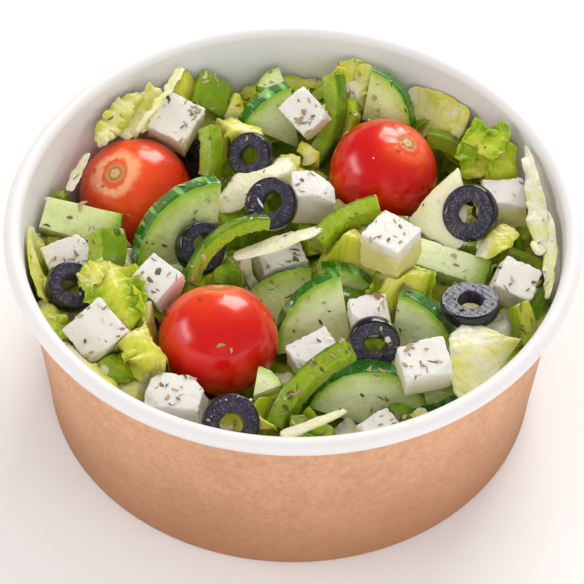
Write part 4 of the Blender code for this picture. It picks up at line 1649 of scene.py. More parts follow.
# the pieces of lettuce that show between the toppings, each in its own place
SET_LEAVES = (
    # along the wall at the back left: yellow frills, an olive piece, a beige strip
    Leaf(((-53, 34.5, 50), (-49, 42, 53), (-43, 50, 55)), (2.4, 7, 3), YELLOW, roll=-20, frill=1.4,
         waves=5, rib=0.3, crinkle=0.3, thickness=0.35, free=True, shift=0.04),
    Leaf(((-47.5, 39.5, 49), (-42, 46, 52.5), (-37, 52, 54.5)), (5, 10, 6), YELLOW, roll=-8,
         frill=1.3, waves=5, rib=0.3, crinkle=0.35, thickness=0.4, free=True, shift=0.06),
    Leaf(((-43, 38, 53), (-37, 45, 57), (-31.5, 57.5, 58)), (2.2, 2.6, 3.6), PALE, roll=22,
         waves=3.5, crinkle=0.3, free=True, shift=0.08),
    Leaf(((-34, 52.5, 49), (-30.5, 56, 52), (-27.5, 61, 54)), (9, 10, 8), LIME, roll=6,
         shift=0.06),
    Leaf(((-27.5, 52.5, 40), (-27, 58, 44), (-26.5, 62.5, 49)), (12, 14, 10), LIME, roll=4),
    Leaf(((-60, 20, 48), (-58, 26, 49), (-55.5, 31, 51)), (2.6, 3.4, 1.6), CREAM, roll=20,
         frill=0.3, brown=1, free=True),
    Leaf(((-19, 52, 44), (-18, 54, 47), (-17.5, 58.5, 49)), (9, 8, 1.5), YELLOW, roll=-10,
         frill=0.5, rib=0.3),
    Leaf(((-25, 44.5, 49), (-17, 43, 50), (-9, 42.5, 48.5)), (6, 8.5, 7), YELLOW, roll=10,
         frill=0.4, waves=2.5, rib=0.35, thickness=0.7),
    Leaf(((-28, 42, 45), (-25, 43, 46), (-22.5, 45.5, 46)), (8, 9, 7), GREEN, rib=0.3),
    # the left wall: a smooth pale leaf on edge and a lime one below
    Leaf(((-68, 2, 52.5), (-67.5, -8.5, 51), (-63.5, -20, 49)), (4.5, 6.5, 5), YELLOW, roll=52),
    Leaf(((-67, 6, 45), (-66, -6.5, 47), (-63, -16, 46)), (5, 6, 5), LIME, roll=30, frill=0.8,
         waves=2.5),
    Leaf(((-64.5, -18, 46), (-61.5, -26, 48), (-58.5, -31.5, 47)), (8, 9.5, 7), LIME, roll=12,
         frill=1.3, waves=3, rib=0.4, crinkle=0.6),
    # the frilly leaf at the front left, with its rib, curls and lobes
    Leaf(((-48.5, -11, 53.5), (-45.5, -21.5, 54), (-40.5, -29.5, 50)), (13, 15.5, 9), LIME, roll=4,
         frill=1.4, waves=4, rib=0.8, crinkle=0.8, thickness=0.4, free=True, shift=-0.08),
    Leaf(((-53, -20, 53.5), (-51, -16.5, 55), (-48.5, -11, 54)), (5, 7, 5), YELLOW, roll=18,
         frill=1.2, waves=4, crinkle=0.8, free=True),
    Leaf(((-42.5, -17, 51), (-40, -24, 52), (-39, -26.5, 49)), (5, 6.5, 5), LIME, roll=-34,
         cup=1.8, frill=1.3, waves=4, crinkle=0.4),
    Leaf(((-38, -20.5, 50), (-37, -26, 50), (-36, -29.5, 48)), (5, 6, 5), YELLOW, roll=-12,
         frill=0.9, waves=3, rib=0.3, crinkle=0.5),
    Leaf(((-41.5, -30.5, 51), (-36.5, -37, 52), (-32.5, -41, 49)), (10, 12, 7), LIME, roll=-6,
         frill=1.4, waves=5, rib=0.5, crinkle=0.9, brown=0.8, shift=0.08),
    Leaf(((-48.5, -35, 46), (-44, -39.5, 48), (-39.5, -38, 46)), (8, 11, 8), GREEN, roll=4, cup=-2,
         frill=0.5, crinkle=0.3),
    Leaf(((-38, -35, 48), (-36, -40.5, 48), (-34.5, -45, 46)), (7, 8, 2.5), YELLOW, roll=-14,
         frill=0.5, rib=0.4),
    Leaf(((-57.5, -34.5, 49), (-50.5, -43, 50), (-43.5, -49, 48)), (4, 6.5, 4), YELLOW, roll=28,
         frill=0.4, rib=0.3, shift=0.04),
    Leaf(((-44.5, -48.5, 44), (-40, -46, 46), (-34.5, -41, 44)), (7, 8, 7), YELLOW, roll=5,
         waves=3, rib=0.5),
    Leaf(((-41.5, -43, 44), (-39, -41, 44), (-37, -39, 44)), (5, 6, 5), DARK, roll=5, frill=0.5),
    # the middle: a cream leaf and strip, a bright folded leaf, a curled one, small ends
    Leaf(((-20.5, 19.5, 46), (-11.5, 22.5, 50.5), (-1.5, 32.5, 49)), (11, 12, 9), CREAM, roll=8,
         cup=-1.2, frill=0.4, rib=0.4, thickness=0.8),
    Leaf(((-20.5, -3.5, 42), (-15.5, -3, 44), (-10.5, 0.5, 43)), (8, 9, 7), DARK, rib=0.4),
    Leaf(((-20.5, 19.5, 44), (-17, 16.5, 46), (-13, 16.5, 44)), (8, 9, 7), GREEN, rib=0.4),
    Leaf(((-15.5, -4.5, 50), (-4, -0.5, 51.5), (8, 6, 51)), (4, 6.5, 2.5), CREAM, roll=16,
         frill=0.2, rib=0.3, thickness=0.7, free=True),
    Leaf(((-14, -2.5, 46), (-8, -0.5, 47), (-0.5, 3.5, 46)), (6, 8, 5), CREAM, frill=0.4, rib=0.3),
    Leaf(((6, -4, 47), (12, -2, 50.5), (18, 5, 50)), (7, 13, 9), LIME, roll=-8, cup=1.2, rib=0.3,
         shift=0.16),
    Leaf(((16, -3.5, 49), (17.5, -10.5, 50), (19, -14, 47)), (6, 6, 4), LIME, roll=-30, rib=0.15),
    Leaf(((26.5, -7.5, 50.5), (29, -12, 50.5), (31.5, -15.5, 45)), (9, 16, 17), YELLOW, roll=-4,
         cup=-3.2, frill=0.2, rib=0.1),
    Leaf(((20, -36.5, 49), (23, -36.5, 51), (25.5, -38, 49)), (3, 4, 3), LIME, roll=25, waves=3),
    Leaf(((-3.5, 30, 45), (-2, 31.5, 48), (-1, 35, 48)), (6, 7, 4), YELLOW, roll=10, frill=0.5,
         rib=0.4),
    Leaf(((2.5, 36, 45), (3.5, 37, 48), (5, 41.5, 48)), (5, 6, 4), YELLOW, roll=-12, frill=0.5,
         rib=0.4),
    # the right side: a cream triangle, a bubbly green leaf with two points, pale ribs
    Leaf(((37, 9, 44), (39.5, 14.5, 49.5), (43.5, 26.5, 53)), (17, 13, 1.2), CREAM, roll=4,
         frill=0.05, rib=0.35, thickness=0.9, free=True),
    Leaf(((30.5, 56, 46), (38, 53, 47), (46, 45.5, 48)), (11, 14, 11), YELLOW, roll=-44, cup=0.4,
         frill=0.5, waves=2.5, crinkle=0.45, free=True, shift=0.08),
    Leaf(((42, 46.5, 49), (45.5, 44, 50), (49, 41, 50)), (7, 8, 7), LIME, roll=10, waves=3,
         rib=0.3, crinkle=0.3),
    Leaf(((53, 30, 47), (50.5, 35.5, 51), (47.5, 40, 54)), (13, 16, 8), GREEN, roll=6, frill=0.9,
         waves=3, rib=0.3, crinkle=0.9, free=True, shift=0.05),
    Leaf(((50.5, 31.5, 53), (54, 35.5, 56), (56.5, 39, 58)), (9, 8, 1.5), GREEN, roll=20,
         frill=0.9, waves=3, rib=0.3, crinkle=0.6, free=True),
    Leaf(((48.5, 35, 53), (49, 38.5, 55), (48.5, 42, 57)), (8, 6, 0.8), GREEN, frill=0.5, rib=0.3,
         crinkle=0.5, free=True),
    Leaf(((54, 24.5, 48), (56, 30, 51), (57, 35, 55)), (8, 8, 5), LIME, roll=-14, frill=0.8,
         waves=2.5, crinkle=0.7),
    Leaf(((61.5, 31.5, 58), (63.5, 14, 55), (64.5, -3, 52)), (1.5, 5.2, 3.5), CREAM, roll=-24,
         frill=0.9, waves=4, crinkle=0.7, free=True),
    Leaf(((66.5, 9.5, 55), (67, -4, 53), (66, -17, 51)), (2, 4.5, 2.5), PALE, roll=-40, waves=3,
         crinkle=0.5, free=True, shift=0.08),
    Leaf(((48.5, 4, 46), (53, 4.5, 49), (58, 9, 49)), (8, 8.5, 5), YELLOW, roll=4, waves=2.5,
         rib=0.3, crinkle=0.4, thickness=0.4, free=True, shift=0.04),
    Leaf(((57.5, 10, 42), (59.5, 9.5, 43), (62, 10.5, 43)), (7, 8, 7), DARK, frill=0.5),
    Leaf(((50.5, -20, 43), (54, -22.5, 45), (58.5, -22, 44)), (9, 10, 8), CREAM, frill=0.4,
         rib=0.4),
    Leaf(((63.5, -17.5, 42), (65, -14.5, 45), (65.5, -9.5, 46)), (6, 7, 5), DARK, roll=-40),
    # the front: a broad pale wedge, a pale strip under the rim, green ends
    Leaf(((43.5, -27.5, 51.5), (48, -35.5, 51), (52, -39.5, 46)), (7, 20, 30), PALE, roll=4,
         cup=-0.4, frill=0.25, rib=0.35, crinkle=0.35, thickness=0.6, free=True, shift=0.06),
    Leaf(((-2, -63.5, 50), (6, -60.5, 51.5), (14, -56.5, 52)), (4, 3.4, 2), CREAM, roll=14,
         frill=0.12, rib=0.3, thickness=0.7, free=True, shift=-0.04),
    Leaf(((-0.5, -60.5, 46), (4, -59, 48), (8.5, -57, 47)), (7, 8, 7), GREEN, roll=5),
    Leaf(((0, -56.5, 48), (3, -55.5, 49), (6.5, -52.5, 48)), (6, 7, 6), LIME, roll=5, frill=0.5),
    Leaf(((-7, -58, 46), (-6, -54.5, 48), (-4, -47.5, 46)), (6, 7, 5), LIME),
    Leaf(((25.5, -52, 44), (27.5, -51, 45), (29.5, -48, 44)), (7, 8, 6), DARK, roll=-8, frill=0.7),
    Leaf(((13, 57.5, 50), (15, 62, 52), (15.5, 65.5, 55)), (9, 11, 7), LIME, roll=-22, frill=0.7,
         waves=2.5, rib=0.5, crinkle=0.5, free=True, shift=0.14),
    Leaf(((15, 58, 50), (18, 60.5, 52), (21, 63.5, 54)), (7, 8, 5), YELLOW, roll=-20, rib=0.3,
         crinkle=0.5, shift=0.06),
    Leaf(((12.5, 47, 46), (13.5, 52, 48), (15, 59, 49)), (7, 8, 7), LIME, frill=0.5, rib=0.3),
)


@dataclass
class LettuceHeap:
    """The lettuce: a lower core, torn leaves each in its own place, loose pieces in every gap."""

    land: Landscape
    rings: int = 70
    spokes: int = 220
    sink: float = 3.2

    def core(self, skin: Material) -> Object:
        """The core: the heap's own top, eased and lowered, with folds like packed leaves.

        On a polar grid the height is the heap's height, less the sink, plus folds made of the
        absolute value of waves; the side follows the wall and the bottom is flat.

        Args:
            skin: its finish.

        Returns:
            The core.
        """
        bowl = PaperBowl()
        low = bowl.foot_height + bowl.disc + 3 * bowl.gap
        share = np.linspace(0, 1, self.rings)
        a = np.arange(self.spokes) * TAU / self.spokes
        r = share[:, None] * (bowl.inner(40.0) - 0.6)
        flat = coords(r * np.cos(a), r * np.sin(a), 0.0)
        eased = np.where(self.land.bed < 0, 99.0, self.land.bed)
        for _ in range(4):
            eased = Landscape.eased(eased, 0.35)
        folds = 1.5 * np.abs(ripple(flat, 17.0, 5, 6)) + 0.6 * np.abs(ripple(flat, 6.0, 6, 8))
        z = self.land.sampled(eased, flat) - self.sink + folds * 0.8
        roof = self.land.sampled(self.land.under, flat) - 0.8
        z = np.minimum(np.minimum(z, roof), 48.0)
        z[0] = z[0].mean()
        scale = np.minimum(1.0, (bowl.inner(z) - 0.6) / np.maximum(r, 1e-6))
        top = coords(flat[..., 0] * scale, flat[..., 1] * scale, z)
        deep = np.linspace(0, 1, 10)[1:, None]
        rim_z = top[-1, :, 2][None, :] * (1 - deep) + low * deep
        rim_r = bowl.inner(rim_z) - 0.6
        wall = coords(rim_r * np.cos(a), rim_r * np.sin(a), rim_z)
        foot = np.zeros((1, self.spokes, 3))
        foot[..., 2] = low
        points = np.concatenate([top, wall, foot]).reshape(-1, 3)
        pale = 0.34 + 0.12 * ripple(points, 14.0, 8) + 0.04 * ripple(points, 4.0, 9)
        marks = {"pale": pale, "sheet": points * [1.0, 1.0, 0.6], "brown": 0 * pale}
        surface = Surface(points, grid_quads(self.rings + 10, self.spokes, True), marks)
        return make_object("lettuce_core", surface.welded().outward(), skin)

    def loose_leaves(self, count: int = 118) -> list[Leaf]:
        """Small torn pieces over the whole heap, lying on it at every turn, some round the wall.

        Args:
            count: how many.

        Returns:
            The leaves.
        """
        rng = np.random.default_rng(2024)
        radius = 66.0 * np.sqrt(rng.uniform(0, 1, count))
        angle = rng.uniform(0, TAU, count)
        radius[90:] = rng.uniform(58, 65, count - 90)
        angle[90:] = np.arange(count - 90) * TAU / (count - 90) + rng.uniform(0, 0.2, count - 90)
        leaves = []
        for k in range(count):
            middle = np.array([radius[k] * math.cos(angle[k]), radius[k] * math.sin(angle[k]), 0])
            turn = rng.uniform(0, TAU)
            if radius[k] > 56:
                turn = angle[k] + math.pi / 2 + rng.normal() * 0.4
            reach = rng.uniform(6, 12)
            step = reach * np.array([math.cos(turn), math.sin(turn), 0])
            ends = np.stack([middle - step, middle, middle + step])
            ends[:, 2] = np.clip(self.land.bed[self.land.cells(ends)], 28, 47) - 0.5
            ends[1, 2] += rng.uniform(1.0, 3.0)
            wide = rng.uniform(7, 13)
            tone = rng.choice([GREEN, GREEN, LIME, LIME, LIME, YELLOW, YELLOW, PALE, CREAM])
            leaves.append(Leaf(
                tuple(map(tuple, ends)), (wide * 0.8, wide, wide * 0.7), tone,
                roll=float(rng.normal() * 22), cup=float(rng.normal() * 1.2),
                frill=float(rng.uniform(0.4, 1.5)), waves=float(rng.uniform(2, 4)),
                rib=float(rng.uniform(0.1, 0.6)), crinkle=float(rng.uniform(0.0, 0.7)),
                seed=100 + 7 * k))
        return leaves

    def build(self, skin: Material) -> list[Object]:
        """Make the core and the leaves.

        Args:
            skin: the finish of lettuce.

        Returns:
            The pieces, the core first.
        """
        pieces = [self.core(skin)]
        shown = [replace(leaf, seed=k) for k, leaf in enumerate(SET_LEAVES, 11)]
        for name, leaves, parts in (("leaves", shown, 2), ("pieces", self.loose_leaves(), 3)):
            sheets = [leaf.surface(self.land) for leaf in leaves]
            pieces += [make_object(f"lettuce_{name}_{k + 1}", joined(sheets[k::parts]), skin)
                       for k in range(parts)]
        return pieces


# ---- scattered things
@dataclass
class Scatter:
    """Oregano, crumbs of cheese and drops of water on what lies on top."""

    land: Landscape
    pieces: list[Object]

    def found(self, seed: int, lots: list[tuple]) -> list[tuple[Array, Array]]:
        """The places of several lots; each lot is what `spots` takes after the seed."""
        return [self.spots(seed + k, *lot) for k, lot in enumerate(lots)]

    def spots(self, seed: int, names: str | tuple[str, ...], count: int, least: float,
              near: tuple | None = None) -> tuple[Array, Array]:
        """Random places on the faces of some pieces that look up and lie open.

        Args:
            seed: fixes them.
            names: what the names of the pieces begin with.
            count: how many places to find.
            least: the least height of a unit normal.
            near: x, y and spread of a clump in millimetres, or None for everywhere.

        Returns:
            The places in millimetres and the unit normals there.
        """
        rng = np.random.default_rng(seed)
        tri = np.concatenate([triangles(piece.data) for piece in self.pieces
                              if piece.name.startswith(names)]).astype(float)
        normal = np.cross(tri[:, 1] - tri[:, 0], tri[:, 2] - tri[:, 0])
        area = np.linalg.norm(normal, axis=1)
        normal /= np.maximum(area, 1e-12)[:, None]
        chance = area * (normal[:, 2] > least)
        if near is not None:
            off = tri.mean(axis=1)[:, :2] - near[:2]
            chance = chance * np.exp(-0.5 * (off ** 2).sum(axis=1) / near[2] ** 2)
        pick = rng.choice(len(tri), count * 6, p=chance / chance.sum())
        share = rng.dirichlet((1.0, 1.0, 1.0), len(pick))
        place = np.einsum("nk,nkx->nx", share, tri[pick])
        top = np.maximum(self.land.over, self.land.bed)[self.land.cells(place)]
        open_ = (top < place[:, 2] + 1.6) & (np.hypot(place[:, 0], place[:, 1]) < 69.0)
        keep = np.flatnonzero(open_)[:count]
        return place[keep], normal[pick][keep]

    @staticmethod
    def frames(normal: Array, rng: np.random.Generator, tilt: float) -> Array:
        """Three axes at each place, the third near the normal, turned at random.

        Args:
            normal: unit normals.
            rng: where the random turns come from.
            tilt: how far the third axis strays from the normal.

        Returns:
            The axes, one below the other, for each normal.
        """
        third = normal + tilt * rng.normal(size=normal.shape)
        third /= np.linalg.norm(third, axis=1, keepdims=True)
        first = np.cross(third, rng.normal(size=normal.shape))
        first /= np.linalg.norm(first, axis=1, keepdims=True)
        return np.stack([first, np.cross(third, first), third], axis=1)

    @staticmethod
    def spread(unit: Surface, shapes: Array, axes: Array, place: Array,
               marks: dict[str, Array]) -> Surface:
        """Copy one small shape to many places.

        Args:
            unit: the shape.
            shapes: the points of each copy.
            axes: three axes a copy.
            place: where each goes.
            marks: one value a copy.

        Returns:
            All copies as one surface.
        """
        count, size = len(place), len(unit.points)
        points = np.einsum("nkx,nxy->nky", shapes, axes) + place[:, None, :]
        starts = (np.arange(count) * size)[:, None, None]
        quads = (unit.quads[None] + starts).reshape(-1, 4)
        values = {key: np.repeat(v, size) for key, v in marks.items()}
        return Surface(points.reshape(-1, 3), quads, values)

    def oregano(self, finish: Material) -> Object:
        """Dried oregano: small curled flakes and short stalks.

        A flake is a lens-shaped plate of four by two cells, bent along its length, its two
        skins a tenth of a millimetre apart.

        Args:
            finish: its finish.

        Returns:
            The flakes as one piece.
        """
        rng = np.random.default_rng(7)
        lots = [("feta", 210, 0.15), ("cucumber", 80, 0.05), ("pepper", 60, 0.1),
                ("olive", 26, 0.2), ("tomato", 10, 0.35), ("lettuce", 150, 0.4)]
        toppings = ("feta", "cucumber", "pepper", "olive")
        clumps = [(toppings, n, 0.2, (x, y, wide)) for x, y, wide, n in CLUMPS]
        place, normal = map(np.concatenate, zip(*self.found(40, lots), *self.found(140, clumps)))
        count = len(place)
        s, t = np.meshgrid(np.linspace(-1, 1, 5), np.linspace(-1, 1, 3), indexing="ij")
        lens = np.sqrt(np.clip(1 - s ** 2, 0.06, 1))
        flat = coords(s, t * lens, 0.0)
        loop = both(flat, flat).reshape(-1, 3)
        side = both(np.ones((5, 3)), -np.ones((5, 3))).ravel()
        quads = grid_quads(5, 6, True)
        ends = np.array([[0, 1, 4, 5], [1, 2, 3, 4]])
        unit = Surface(loop, np.concatenate([quads, ends[:, ::-1], ends + 24]), {})
        long = rng.lognormal(math.log(0.74), 0.42, count).clip(0.28, 2.2)
        thin = long * np.where(rng.uniform(size=count) < 0.3, 0.14, rng.uniform(0.25, 0.6, count))
        bend = rng.normal(size=count) * 0.25
        curl = rng.normal(size=count) * 0.5
        x = loop[None, :, 0] * long[:, None]
        y = loop[None, :, 1] * thin[:, None] + bend[:, None] * x ** 2 / long[:, None]
        z = curl[:, None] * loop[None, :, 1] ** 2 * thin[:, None] + 0.15 * long[:, None] \
            * loop[None, :, 0] ** 2 * np.sign(bend)[:, None] + side[None, :] * 0.05
        shapes = coords(x, y, z)
        axes = self.frames(normal, rng, 0.22)
        lifted = place + normal * 0.16
        tone = np.where(rng.uniform(size=count) < 0.34, rng.uniform(0.02, 0.4, count),
                        rng.uniform(0.45, 1.0, count))
        surface = self.spread(unit, shapes, axes, lifted, {"tone": tone})
        return make_object("oregano", surface.outward(), finish)

    def crumbs(self, cheese: Material) -> Object:
        """Crumbs of feta: small uneven lumps.

        A crumb is a ball of four by six cells whose radius wanders from point to point.

        Args:
            cheese: its finish.

        Returns:
            The crumbs as one piece.
        """
        rng = np.random.default_rng(17)
        lots = [("cucumber", 40, 0.1), ("pepper", 30, 0.15), ("olive", 20, 0.2),
                ("lettuce", 150, 0.35), ("feta", 40, 0.2), ("tomato", 6, 0.5)]
        place, normal = map(np.concatenate, zip(*self.found(60, lots)))
        count = len(place)
        ball = globe(np.linspace(0, math.pi, 5), 6)[2].reshape(-1, 3)
        unit = Surface(ball, grid_quads(5, 6, True)).welded().outward()
        size = rng.lognormal(math.log(0.27), 0.50, count).clip(0.12, 1.1)
        wander = rng.uniform(0.5, 1.25, (count, len(unit.points)))
        stretch = rng.uniform(0.6, 1.3, (count, 1, 3)) * [1, 1, 0.7]
        stretch[::4] *= [2.2, 0.55, 0.8]
        shapes = unit.points[None] * size[:, None, None] * wander[..., None] * stretch
        axes = self.frames(normal, rng, 0.4)
        surface = self.spread(unit, shapes, axes, place + normal * (0.3 * size)[:, None], {})
        surface.marks["own"] = surface.points.copy()
        return make_object("feta_crumbs", surface, cheese)

    def drops(self, water: Material) -> Object:
        """Drops of water: low domes on the tomatoes, cucumber, pepper and olives.

        A drop is a ball of six by twelve cells, flattened to about a third of its height.

        Args:
            water: its finish.

        Returns:
            The drops as one piece.
        """
        rng = np.random.default_rng(27)
        lots = [("tomato", 40, 0.1), ("cucumber", 24, 0.1), ("pepper", 24, 0.1),
                ("olive", 10, 0.1)]
        place, normal = map(np.concatenate, zip(*self.found(80, lots)))
        count = len(place)
        ball = globe(np.linspace(0, math.pi, 7), 12, half=0.40)[2].reshape(-1, 3)
        unit = Surface(ball, grid_quads(7, 12, True)).welded().outward()
        size = rng.lognormal(math.log(0.40), 0.40, count).clip(0.16, 1.0)
        stretch = rng.uniform(0.8, 1.35, (count, 1, 3)) * [1, 1, 0.75]
        shapes = unit.points[None] * size[:, None, None] * stretch
        axes = self.frames(normal, rng, 0.02)
        surface = self.spread(unit, shapes, axes, place + normal * 0.02, {})
        return make_object("water_drops", surface, water)


# ---- studio
@dataclass
class Studio:
    """Pale floor, plain soft light and the camera."""

    eye: tuple = (0.0, -0.4956, 0.5919)
    down: float = 48.49
    roll: float = 1.38
    lens: float = 173.35

    def floor(self, finish: Material) -> Object:
        """The floor: a wide round plate just under the foot.

        Args:
            finish: its finish.

        Returns:
            The floor.
        """
        radius = np.array([0.0, 200.0, 1500.0])
        surface = PaperBowl(steps=48).turned(radius, np.full(3, -0.05), False).welded()
        floor = make_object("studio_floor", surface, finish)
        return floor

    @staticmethod
    def light(name: str, place: tuple, aim: float, size: tuple, power: float, colour: tuple,
              mirrored: bool = True) -> None:
        """One rectangular soft light.

        Args:
            name: its name.
            place: where it stands, in metres.
            aim: height of what it looks at on the bowl's axis, in metres.
            size: its two sides, in metres.
            power: its power, in watts.
            colour: its colour.
            mirrored: whether glossy things mirror it.
        """
        data = bpy.data.lights.new(name, "AREA")
        data.shape = "RECTANGLE"
        data.size, data.size_y = size
        data.energy = power
        data.color = colour
        lamp = bpy.data.objects.new(name, data)
        bpy.context.scene.collection.objects.link(lamp)
        lamp.visible_glossy = mirrored
        way = Vector(place) - Vector((0.0, 0.0, aim))
        lamp.matrix_world = Matrix.Translation(place) @ way.to_track_quat("Z", "Y").to_matrix() \
            .to_4x4()

    def lights(self) -> None:
        """A tall window behind to the right, a panel at the left, and soft light all round."""
        sun, warm, sky = (1.0, 0.98, 0.95), (1.0, 0.99, 0.97), (0.94, 0.98, 1.0)
        self.light("window", (0.23, 0.70, 0.52), 0.04, (0.50, 0.55), 5.5, sun)
        self.light("panel", (-0.80, -0.06, 0.40), 0.04, (0.80, 0.40), 1.2, warm)
        self.light("strip", (-0.77, -0.05, 0.43), 0.04, (0.55, 0.14), 0.8, warm)
        self.light("sheet", (0.10, -0.25, 1.1), 0.0, (1.0, 1.0), 0.9, warm, False)
        self.light("front", (0.1, -0.9, 0.55), 0.03, (0.6, 0.4), 2.6, warm, False)
        self.light("right", (0.9, -0.5, 0.3), 0.03, (0.5, 0.4), 1.9, sky, False)
        world = bpy.data.worlds.new("studio")
        world.use_nodes = True
        back = world.node_tree.nodes["Background"]
        back.inputs["Color"].default_value = (1.0, 0.99, 0.98, 1.0)
        tree = Tree(world.node_tree, back)
        seen = tree.value("LightPath", {}, "Is Glossy Ray")
        tree.feed(Strength=seen * -0.42 + 0.56)
        bpy.context.scene.world = world

    def camera(self) -> None:
        """The camera, looking down at the bowl from the front."""
        data = bpy.data.cameras.new("camera")
        data.lens = self.lens
        data.sensor_width = 36.0
        data.clip_start, data.clip_end = 0.05, 10.0
        camera = bpy.data.objects.new("camera", data)
        bpy.context.scene.collection.objects.link(camera)
        camera.matrix_world = (Matrix.Translation(self.eye)
                               @ Matrix.Rotation(math.radians(90 - self.down), 4, "X")
                               @ Matrix.Rotation(math.radians(self.roll), 4, "Z"))
        bpy.context.scene.camera = camera
        bpy.context.scene.view_settings.view_transform = "Standard"


# ---- the salad's toppings
TOMATOES = (
    Tomato("tomato_left", 15.5, 15.2, Lie(28, -138, -10), warm=1.2, ring=0.8),
    Tomato("tomato_right", 14.8, 14.6, Lie(26, -6, 22), warm=0.55, ring=0.12),
    Tomato("tomato_front", 15.5, 14.4, Lie(38, 92, 0), warm=0.9, ring=0.3),
)

FETA = (
    FetaBlock("feta_back_left", 11.5, 12, 10.5, Lie(26, -86, -26), soak_and_shade=1.0),
    FetaBlock("feta_back", 11, 9.3, 8, Lie(34, -106, -50)),
    FetaBlock("feta_middle", 11.5, 9, 11.5, Lie(2, -120, 2)),
    FetaBlock("feta_centre", 12, 11, 12, Lie(2, 168, -36), soak_and_shade=2.1),
    FetaBlock("feta_centre_left", 12.5, 9.5, 9, Lie(6, -18, 22)),
    FetaBlock("feta_left", 10.2, 10.2, 9.5, Lie(24, -114, -42)),
    FetaBlock("feta_front_left", 12, 13, 9.5, Lie(34, -104, -50)),
    FetaBlock("feta_front", 14.5, 10.5, 12, Lie(6, -136, -8)),
    FetaBlock("feta_slab", 12, 8.5, 8, Lie(10, -132, 30)),
    FetaBlock("feta_front_right", 12.5, 10, 10, Lie(14, -92, 16)),
    FetaBlock("feta_inner_right", 10, 8.5, 7, Lie(2, -120, 12)),
    FetaBlock("feta_right", 10.5, 9.5, 10.5, Lie(24, -64, -20)),
    FetaBlock("feta_back_right", 11, 9.5, 10, Lie(2, 152, 6), soak_and_shade=2.2),
    FetaBlock("feta_small", 7.5, 6, 6, Lie(2, 152, 20)),
    FetaBlock("feta_rim", 9, 7.5, 8, Lie(2, 152, 28)),
    FetaBlock("feta_far_left", 12, 10, 8.5, Lie(14, -116, 24), soak_and_shade=1.2),
)

OLIVES = (
    OliveRing("olive_back", 6.5, 2.6, 4, Lie(44, -116, -6)),
    OliveRing("olive_centre", 7.3, 2.9, 4.5, Lie(38, -108, -4)),
    OliveRing("olive_left", 7.2, 2.9, 4.5, Lie(50, -46, 14)),
    OliveRing("olive_far_left", 6.9, 2.8, 4.5, Lie(26, -46, 12)),
    OliveRing("olive_back_right", 7.8, 3.1, 4.5, Lie(46, -122, -8)),
    OliveRing("olive_right", 7.9, 3.1, 4.3, Lie(8, 98, 0)),
    OliveRing("olive_arch", 7, 2.9, 4.2, Lie(62, -86, 2)),
    OliveRing("olive_front", 7.6, 3, 4.3, Lie(30, -76, 4)),
    OliveRing("olive_hidden", 6.2, 2.6, 4.5, Lie(80, -144, -14)),
)

CUCUMBERS = (
    CucumberSlice("cucumber_left", 22, 92, 6, Lie(66, -66, 146), pale=0, striped=1.0),
    CucumberSlice("cucumber_far_left", 21, 26, 6, Lie(28, -84, -12), square=8.5, pale=0.15,
                  soak_and_shade=1.5),
    CucumberSlice("cucumber_centre", 20, 85, 5.6, Lie(63, -80, 148), pale=0.8, striped=0.6),
    CucumberSlice("cucumber_behind", 20, 70, 4.2, Lie(26, -96, 120), pale=-0.25, striped=0.6),
    CucumberSlice("cucumber_band", 14, 60, 4, Lie(76, -90, 72), pale=0.2, striped=0.8),
    CucumberSlice("cucumber_right", 18.5, 80, 5.6, Lie(67, -110, 32), pale=0.8),
    CucumberSlice("cucumber_front", 16.5, 136, 6.2, Lie(72, -84, 94), pale=0.75),
    CucumberSlice("cucumber_rind", 15.5, 60, 5, Lie(36, 118, -80), pale=0.2),
    CucumberSlice("cucumber_back_right", 14.5, 80, 4.6, Lie(62, -118, 26), pale=0, striped=0.12),
    CucumberSlice("cucumber_back", 19, 52, 5, Lie(70, -66, 140), pale=0.5, striped=1.0),
    CucumberSlice("cucumber_tip", 9, 60, 4.2, Lie(12, -94, 138), pale=0.4),
    CucumberSlice("cucumber_wedge", 22, 20, 6, Lie(18, -86, -18), square=7.5, pale=0.7, soak_and_shade=1.4),
    CucumberSlice("cucumber_bit", 8, 60, 6, Lie(22, -92, 52), pale=0.3),
)

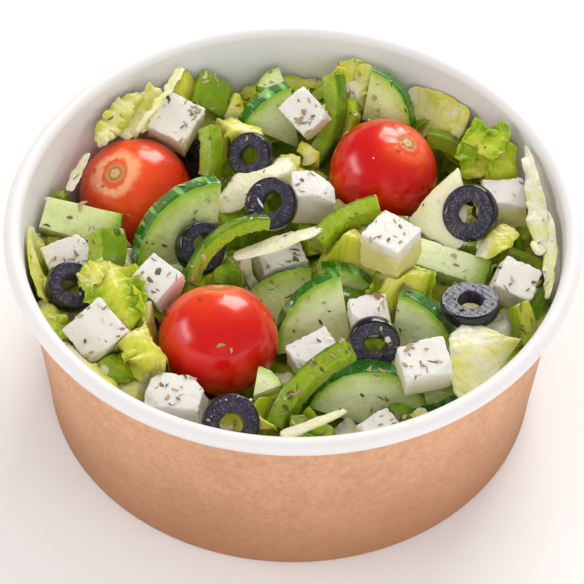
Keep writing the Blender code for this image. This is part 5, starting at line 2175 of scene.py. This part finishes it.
PEPPERS = (
    PepperStrip("pepper_arch", 21, 98, 5.2, 4, Lie(56, -72, 142), tone=0.0),
    PepperStrip("pepper_front", 40, 43, 6.5, 5.5, Lie(32, -128, 130), tone=0.2),
    PepperStrip("pepper_middle", 28, 46, 6, 5.5, Lie(12, -122, 124), tone=0.0),
    PepperStrip("pepper_back_right", 21, 54, 4.4, 5, Lie(74, -104, 52), tone=-0.1),
    PepperStrip("pepper_back", 30, 54, 5.5, 5.5, Lie(48, -124, -22), tone=0.1),
    PepperStrip("pepper_back_left", 24, 36, 5.5, 5, Lie(50, -130, -10), tone=-0.25),
    PepperStrip("pepper_chunk", 15, 42, 10, 4.5, Lie(54, 176, -24), tone=-0.2),
    PepperStrip("pepper_left", 16, 42, 9, 6.8, Lie(56, -144, -16), tone=-0.15),
    PepperStrip("pepper_ridged", 34, 42, 5.5, 3.4, Lie(12, 36, 80), ridges=0.45, tone=-0.5),
    PepperStrip("pepper_right", 18, 36, 6, 4.5, Lie(66, -132, -6), tone=-1.0),
    PepperStrip("pepper_far_left", 8, 32, 4, 3.2, Lie(8, 98, 78), tone=0.4),
    PepperStrip("pepper_small", 12, 50, 5, 3.4, Lie(82, -90, 80), tone=0.3),
    PepperStrip("pepper_rim", 20, 36, 5, 4, Lie(2, -120, 68), tone=0.1),
)

# clumps of oregano: x, y, spread in millimetres, number of flakes
CLUMPS = (
    (-27.5, 42.5, 2, 16), (28.5, -41, 2.4, 16), (23.5, -30, 2.4, 12), (59.5, -25, 2.2, 12),
    (-1, -2.5, 2.5, 9), (8, -43.5, 2.5, 10), (1, -53.5, 3, 9), (-23.5, -10, 2.5, 9),
    (1.5, 42.5, 2.5, 8), (31, -40.5, 3, 8), (14, -37.5, 3, 8), (-12.5, 10, 3, 7),
    (25, -14.5, 3, 6), (-33, -31.5, 4, 5),
)


def main() -> None:
    """Build the studio, the bowl, the lettuce, the toppings and what is scattered on them."""
    logging.basicConfig(level=logging.INFO, format="%(message)s")
    groups = Groups()
    studio = Studio()
    studio.camera()
    studio.lights()
    studio.floor(StudioFloor().material(groups))

    white = WhitePaper().material(groups)
    bowl = PaperBowl()
    report(bowl.wall(KraftPaper().material(groups), white), "kraft_paper", "bowl_wall")
    report(bowl.base(white), "white_paper", "bowl_base")

    land = Landscape()
    cheese = FetaCheese().material(groups)
    kinds = (
        (1, TOMATOES, TomatoSkin().material(groups), "tomato"),
        (11, FETA, cheese, "feta"),
        (31, OLIVES, OliveFlesh().material(groups), "olive"),
        (41, CUCUMBERS, CucumberFlesh().material(groups), "cucumber"),
        (61, PEPPERS, PepperFlesh().material(groups), "pepper"),
    )
    open_pieces = []
    for first_seed, toppings, finish, slot in kinds:
        for seed, topping in enumerate(toppings, first_seed):
            node = topping.node
            piece = replace(topping, seed=seed).build(finish)
            piece.name = node.replace("_", "-", 1)
            open_pieces.append(report(piece, slot, node))
    heap = LettuceHeap(land).build(LettuceSkin().material(groups))
    report(heap[0], "lettuce", "salad_bed")
    for piece in heap[1:]:
        open_pieces.append(report(piece, "lettuce", "salad_bed"))

    scatter = Scatter(land, open_pieces)
    report(scatter.oregano(Herb().material(groups)), "lettuce")
    report(scatter.crumbs(cheese), "feta")
    report(scatter.drops(ClearWater().material(groups)), "cucumber")


if __name__ == "__main__":
    main()
